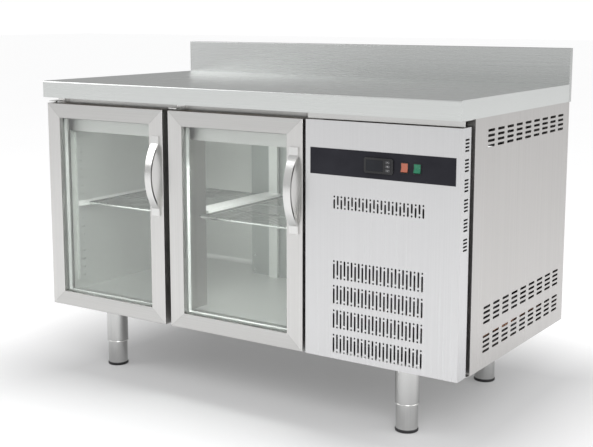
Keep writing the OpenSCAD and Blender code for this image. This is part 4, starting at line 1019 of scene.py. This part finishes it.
def moulded_fan(name, axis, hub):
    """A fan in the box of its solid, with a cupped hub."""
    low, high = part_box(name)
    number = "xyz".index(axis)
    centre = [value for place, value in enumerate(middle(low, high)) if place != number]
    start, end = low[number], high[number]
    tip = (high[2] - low[2]) / 2
    depth = end - start
    ring = [(hub * 0.2, start + depth * 0.12), (hub * 0.85, start + depth * 0.12),
            (hub * 0.96, start + depth * 0.2), (hub, start + depth * 0.32), (hub, end - depth * 0.08),
            (hub * 0.97, end), (hub * 0.2, end)]
    shapes = [turn_shape(ring, centre, axis, ring=True)]
    for blade in range(FAN_BLADES):
        turn = 2 * math.pi * blade / FAN_BLADES
        corners = blade_corners(axis, centre, hub * 0.96, tip, (start + end) / 2, depth * 0.72, turn,
                                1.5 * math.pi / FAN_BLADES)
        shapes.append((corners, blade_faces()))
    fan = make_piece(name + "_moulding", shapes, name, fan_plastic)
    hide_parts(name)
    return tip


large_tip = moulded_fan("condenser_fan", "y", 0.036)
small_tip = moulded_fan("evaporator_fan", "x", 0.017)
print("fans:", round(large_tip, 4), "and", round(small_tip, 4), "m to the blade tips")

# %% [markdown]
# ## Bends in a pipe
#
# Refrigerant pipe is soft copper, bent over a former in smooth quarter turns. A route is easiest to
# say as straight runs between corners, so one function turns each corner into a short arc. A bevelled
# curve with sharp corners would pinch there.

# %% Round the corners of a route
def bend_corners(points, radius, steps=6):
    """A route with each corner rounded."""
    route = [Vector(points[0])]
    for before, corner, after in zip(points, points[1:], points[2:]):
        corner = Vector(corner)
        start = corner + (Vector(before) - corner).normalized() * radius
        end = corner + (Vector(after) - corner).normalized() * radius
        for step in range(steps + 1):
            t = step / steps
            route.append(start * (1 - t) ** 2 + corner * 2 * t * (1 - t) + end * t * t)
    route.append(Vector(points[-1]))
    return [tuple(point) for point in route]


print("a corner becomes", len(bend_corners([(0, 0, 0), (1, 0, 0), (1, 1, 0)], 0.1)) - 2, "points")

# %% [markdown]
# ## Copper pipes
#
# The hot line runs from the compressor to the condenser, the liquid line goes back along the rear to
# the cold room, and the cold line returns to the compressor. All three are one piece of wire work.
# The filter drier in the liquid line is a turned can with drawn ends.

# %% Bent pipes and the drier
PIPE_RADIUS = 0.0045
BEND_RADIUS = 0.014
HOT_HEIGHT = 0.3215
COLD_HEIGHT = 0.5595
LIQUID_HEIGHT = 0.2295
SHELL_X = 0.4005
SHELL_Y = 0.19
SHELL_REACH = 0.087
PIPE_X = 0.6245
COIL_END = 0.607
COIL_Y = -0.21
REAR_Y = 0.2985
shell_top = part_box("compressor")[1][2]
pipes_low, pipes_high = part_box("copper_pipes")
wall_x = pipes_low[0]
turn_x = wall_x + 0.022

hot_line = [(SHELL_X + SHELL_REACH, SHELL_Y, HOT_HEIGHT), (PIPE_X, SHELL_Y, HOT_HEIGHT),
            (PIPE_X, COIL_Y, HOT_HEIGHT), (COIL_END, COIL_Y, HOT_HEIGHT)]
liquid_line = [(COIL_END, COIL_Y, LIQUID_HEIGHT), (PIPE_X, COIL_Y, LIQUID_HEIGHT),
               (PIPE_X, REAR_Y, LIQUID_HEIGHT), (turn_x, REAR_Y, LIQUID_HEIGHT),
               (turn_x, REAR_Y, COLD_HEIGHT), (wall_x, REAR_Y, COLD_HEIGHT)]
cold_line = [(wall_x, SHELL_Y, COLD_HEIGHT), (SHELL_X, SHELL_Y, COLD_HEIGHT),
             (SHELL_X, SHELL_Y, shell_top)]
routes = [bend_corners(line, BEND_RADIUS) for line in (hot_line, liquid_line, cold_line)]
pipe_piece = wires("bent_pipes", routes, PIPE_RADIUS, "root", copper, roundness=4)
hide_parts("copper_pipes")

DRIER = [(0.0046, 0.0), (0.0048, 0.006), (0.0085, 0.016), (0.0098, 0.024), (0.01, 0.03),
         (0.01, 0.08), (0.0098, 0.086), (0.0085, 0.094), (0.0048, 0.104), (0.0046, 0.11)]
drier_shape = turn_shape(DRIER, (PIPE_X, LIQUID_HEIGHT), "y")
make_piece("filter_drier", [drier_shape], "root", copper)
print("pipes from", round(pipes_low[1], 3), "to", round(pipes_high[1], 3), "m, in", len(routes), "runs")

# %% [markdown]
# ## The condenser's fins
#
# The condenser is a pack of thin aluminium fins pressed on to a copper tube. Eighty thin plates as
# one mesh show the fine lines that a hand lamp finds behind the slots, and a texture of lines on a
# block would look flat from the side.

# %% Eighty fins
def box_shape(low, high):
    """A box between two corners."""
    corners = [(x, y, z) for x in (low[0], high[0]) for y in (low[1], high[1]) for z in (low[2], high[2])]
    return corners, [(0, 1, 3, 2), (4, 6, 7, 5), (0, 4, 5, 1), (2, 3, 7, 6), (0, 2, 6, 4), (1, 5, 7, 3)]


FIN_COUNT = 80
FIN_SHEET = 0.0004
TUBE_OUT = 0.006
coil_low, coil_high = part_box("condenser_coil")
fins_left = coil_low[0] + TUBE_OUT
fins_right = coil_high[0] - TUBE_OUT
pitch = (fins_right - fins_left - FIN_SHEET) / (FIN_COUNT - 1)
fins = []
for number in range(FIN_COUNT):
    fin_x = fins_left + number * pitch
    fins.append(box_shape((fin_x, coil_low[1], coil_low[2]),
                          (fin_x + FIN_SHEET, coil_high[1], coil_high[2])))
fin_piece = make_piece("condenser_fins", fins, "root", fin_aluminium)
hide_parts("condenser_coil")
print(FIN_COUNT, "fins at", round(pitch * 1000, 2), "mm")

# %% [markdown]
# ## The condenser's tubes
#
# The tube runs to and fro through the fins, with a return bend outside the pack at every row. Each
# row is one line: across, round the bend and back.

# %% Rows of tube with their return bends
TUBE_ROWS = 7
TUBE_RADIUS = 0.004
TUBE_INSET = 0.014
row_step = (coil_high[2] - coil_low[2]) / TUBE_ROWS
near = coil_low[1] + TUBE_INSET
far = coil_high[1] - TUBE_INSET
tubes = []
for row in range(TUBE_ROWS):
    height = coil_low[2] + (row + 0.5) * row_step
    tubes.append([(coil_low[0], near, height), (fins_right, near, height),
                  (fins_right + 0.003, near + 0.002, height),
                  (fins_right + 0.0045, near + 0.006, height),
                  (fins_right + 0.0045, far - 0.006, height),
                  (fins_right + 0.003, far - 0.002, height),
                  (fins_right, far, height), (coil_low[0], far, height)])
wires("condenser_tubes", tubes, TUBE_RADIUS, "root", copper)
print(TUBE_ROWS, "rows of tube")

# %% [markdown]
# ## The cable gland
#
# The mains lead leaves through a plastic gland in the back: a hexagon locked against the sheet, a
# domed nut that squeezes the lead and a threaded stub inside. All three are rings round the same
# bore, so the way for a lead stays open.

# %% A hexagon, a domed nut and a stub
GLAND_BORE = 0.0045
HEXAGON_EDGE = 0.3528
HEXAGON_TOP = 0.3535
gland_low, gland_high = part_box("cable_gland")
gland_x, _, gland_z = middle(gland_low, gland_high)
wide = (gland_high[0] - gland_low[0]) / 2
outer = gland_high[1]
hexagon = [(GLAND_BORE, BACK_SEAT), (wide, BACK_SEAT), (wide, HEXAGON_EDGE), (wide - 0.0008, HEXAGON_TOP),
           (GLAND_BORE, HEXAGON_TOP)]
dome = [(GLAND_BORE, HEXAGON_TOP), (wide - 0.003, HEXAGON_TOP), (wide - 0.0034, outer - 0.0022),
        (wide - 0.0048, outer - 0.0006), (wide - 0.0062, outer), (GLAND_BORE, outer)]
stub = [(GLAND_BORE, gland_low[1]), (wide - 0.005, gland_low[1]), (wide - 0.005, BACK_SEAT),
        (GLAND_BORE, BACK_SEAT)]
gland_shapes = [turn_shape(profile, (gland_x, gland_z), "y", ring=True, sides=sides)
                for profile, sides in ((hexagon, 6), (dome, 48), (stub, 48))]
gland = make_piece("gland_nut", gland_shapes, "root", black_plastic)
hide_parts("cable_gland")
print("gland", round(wide * 2000, 1), "mm across")

# %% [markdown]
# ## The studio floor
#
# Steel shows what is around it, so the room matters as much as the finish. The counter stands on a
# pale floor that runs far back. Its shade is painted: the floor glows by itself, least in a box round
# the counter and more with distance from it, so a painted shadow lies under the counter and the far
# floor burns out to white. The steel mirrors this painted shadow too.

# %% A floor with a painted shadow under the counter
# painted shadow: the box round the counter where the floor's glow is lowest, and how far out it fades
PAINTED_SHADOW_MIDDLE = (0.06, 0.0)
PAINTED_SHADOW_HALF = (0.62, 0.36)
PAINTED_SHADOW_REACH = 0.46
NEAR_GLOW = 0.14
FAR_GLOW = 0.65
FLOOR_DARK = (0.43, 0.43, 0.435)
FLOOR_LIGHT = (0.46, 0.46, 0.462)
FLOOR_HALF = 40.0


def painted_shadow_floor():
    """A wide matt floor that glows by itself, least near the counter, which paints a shadow under it."""
    finish, tree, shader, place = start_finish("painted_shadow_floor", (0.44, 0.44, 0.445), 0.0, 0.65,
                                               Emission_Color=(1, 1, 1, 1))
    drift = noise(tree, place, (1.5, 1.5, 1.5), 2)
    tree.links.new(blend_colours(tree, drift, FLOOR_DARK, FLOOR_LIGHT), shader.inputs["Base Color"])
    axes = tree.nodes.new("ShaderNodeSeparateXYZ")
    tree.links.new(place, axes.inputs["Vector"])
    squares = []
    for axis, centre, half in zip("XY", PAINTED_SHADOW_MIDDLE, PAINTED_SHADOW_HALF):
        offset = calculate(tree, "ABSOLUTE", calculate(tree, "SUBTRACT", axes.outputs[axis], centre), 0)
        beyond = calculate(tree, "MAXIMUM", calculate(tree, "SUBTRACT", offset, half), 0)
        squares.append(calculate(tree, "MULTIPLY", beyond, beyond))
    away = calculate(tree, "SQRT", calculate(tree, "ADD", *squares), 0)
    # painted shadow: the floor's own glow rises from NEAR_GLOW to FAR_GLOW with distance from the box
    glow = spread(tree, away, NEAR_GLOW, FAR_GLOW, 0, PAINTED_SHADOW_REACH)
    tree.links.new(glow, shader.inputs["Emission Strength"])
    return finish


floor_mesh = bpy.data.meshes.new("studio_floor")
floor_mesh.from_pydata([(-FLOOR_HALF, -FLOOR_HALF, 0), (FLOOR_HALF, -FLOOR_HALF, 0),
                        (FLOOR_HALF, FLOOR_HALF, 0), (-FLOOR_HALF, FLOOR_HALF, 0)], [], [(0, 1, 2, 3)])
floor_mesh.materials.append(painted_shadow_floor())
floor = bpy.data.objects.new("studio_floor", floor_mesh)
bpy.context.scene.collection.objects.link(floor)
print("floor", FLOOR_HALF * 2, "m wide")

# %% [markdown]
# ## The sky
#
# The sky is white where the camera sees it. For reflections and light it is brighter in front and at
# the right and greyer behind, so that the worktop reads darker than the doors. An image of a studio
# would do the same, but two backgrounds and a switch need no file.

# %% White to the eye, shaded for reflections
SKY_FRONT = -0.22
SKY_RIGHT = 0.2
SKY_BASE = 0.82
SEEN_STRENGTH = 1.02

world = bpy.data.worlds.new("studio_sky")
world.use_nodes = True
bpy.context.scene.world = world
sky = world.node_tree
sky.nodes.clear()
direction = sky.nodes.new("ShaderNodeTexCoord").outputs["Generated"]
axes = sky.nodes.new("ShaderNodeSeparateXYZ")
sky.links.new(direction, axes.inputs["Vector"])
front = calculate(sky, "MULTIPLY", axes.outputs["Y"], SKY_FRONT)
right = calculate(sky, "MULTIPLY", axes.outputs["X"], SKY_RIGHT)
glow = calculate(sky, "ADD", calculate(sky, "ADD", front, right), SKY_BASE)
sky_light = sky.nodes.new("ShaderNodeBackground")
sky.links.new(glow, sky_light.inputs["Strength"])
seen = sky.nodes.new("ShaderNodeBackground")
seen.inputs["Color"].default_value = (1, 1, 1, 1)
seen.inputs["Strength"].default_value = SEEN_STRENGTH
rays = sky.nodes.new("ShaderNodeLightPath")
pick = sky.nodes.new("ShaderNodeMixShader")
sky.links.new(rays.outputs["Is Camera Ray"], pick.inputs["Fac"])
sky.links.new(sky_light.outputs["Background"], pick.inputs[1])
sky.links.new(seen.outputs["Background"], pick.inputs[2])
sky_output = sky.nodes.new("ShaderNodeOutputWorld")
sky.links.new(pick.outputs["Shader"], sky_output.inputs["Surface"])
print("sky with", len(sky.nodes), "nodes")

# %% [markdown]
# ## Lamps
#
# Three large soft lamps shape the body. Light that falls through glass and slots is weak, so a small
# lamp under the ceiling of each bay and one in the machine room lift the inside. Shiny surfaces don't
# mirror the small ones, because a white square in a steel wall would give them away.

# %% Three large lamps and three small ones
def soft_lamp(name, place, aim, size, watts, mirrored=True):
    """A square lamp that points at a place, and that shiny surfaces mirror or not."""
    lamp = bpy.data.lights.new(name, "AREA")
    lamp.shape = "SQUARE"
    lamp.size = size
    lamp.energy = watts
    piece = bpy.data.objects.new(name, lamp)
    piece.location = place
    piece.rotation_euler = (Vector(aim) - Vector(place)).to_track_quat("-Z", "Y").to_euler()
    piece.visible_camera = False
    piece.visible_glossy = mirrored
    bpy.context.scene.collection.objects.link(piece)


soft_lamp("key_lamp", (2.4, -3.2, 3.4), (0, 0, 0.4), 2.6, 110)
soft_lamp("side_lamp", (3.6, 0.6, 2.4), (0.4, 0, 0.4), 2.2, 60)
soft_lamp("left_lamp", (-3.4, -2.2, 2.6), (-0.2, 0, 0.4), 2.4, 50)
soft_lamp("left_bay_lamp", (-0.43, -0.16, 0.735), (-0.43, 0.1, 0.2), 0.26, 0.6, mirrored=False)
soft_lamp("right_bay_lamp", (-0.02, -0.16, 0.735), (-0.05, 0.2, 0.2), 0.26, 3.6, mirrored=False)
soft_lamp("machine_room_lamp", (0.5, 0.12, 0.76), (0.5, 0.1, 0.2), 0.2, 0.5, mirrored=False)
lamps = [piece for piece in bpy.data.objects if piece.type == "LIGHT"]
print(len(lamps), "lamps, together", round(sum(piece.data.energy for piece in lamps), 1), "W")

# %% [markdown]
# ## The end of the script
#
# The pieces made here must stay inside the imported model's box.

# %% End of the script
print("end of the scene script")
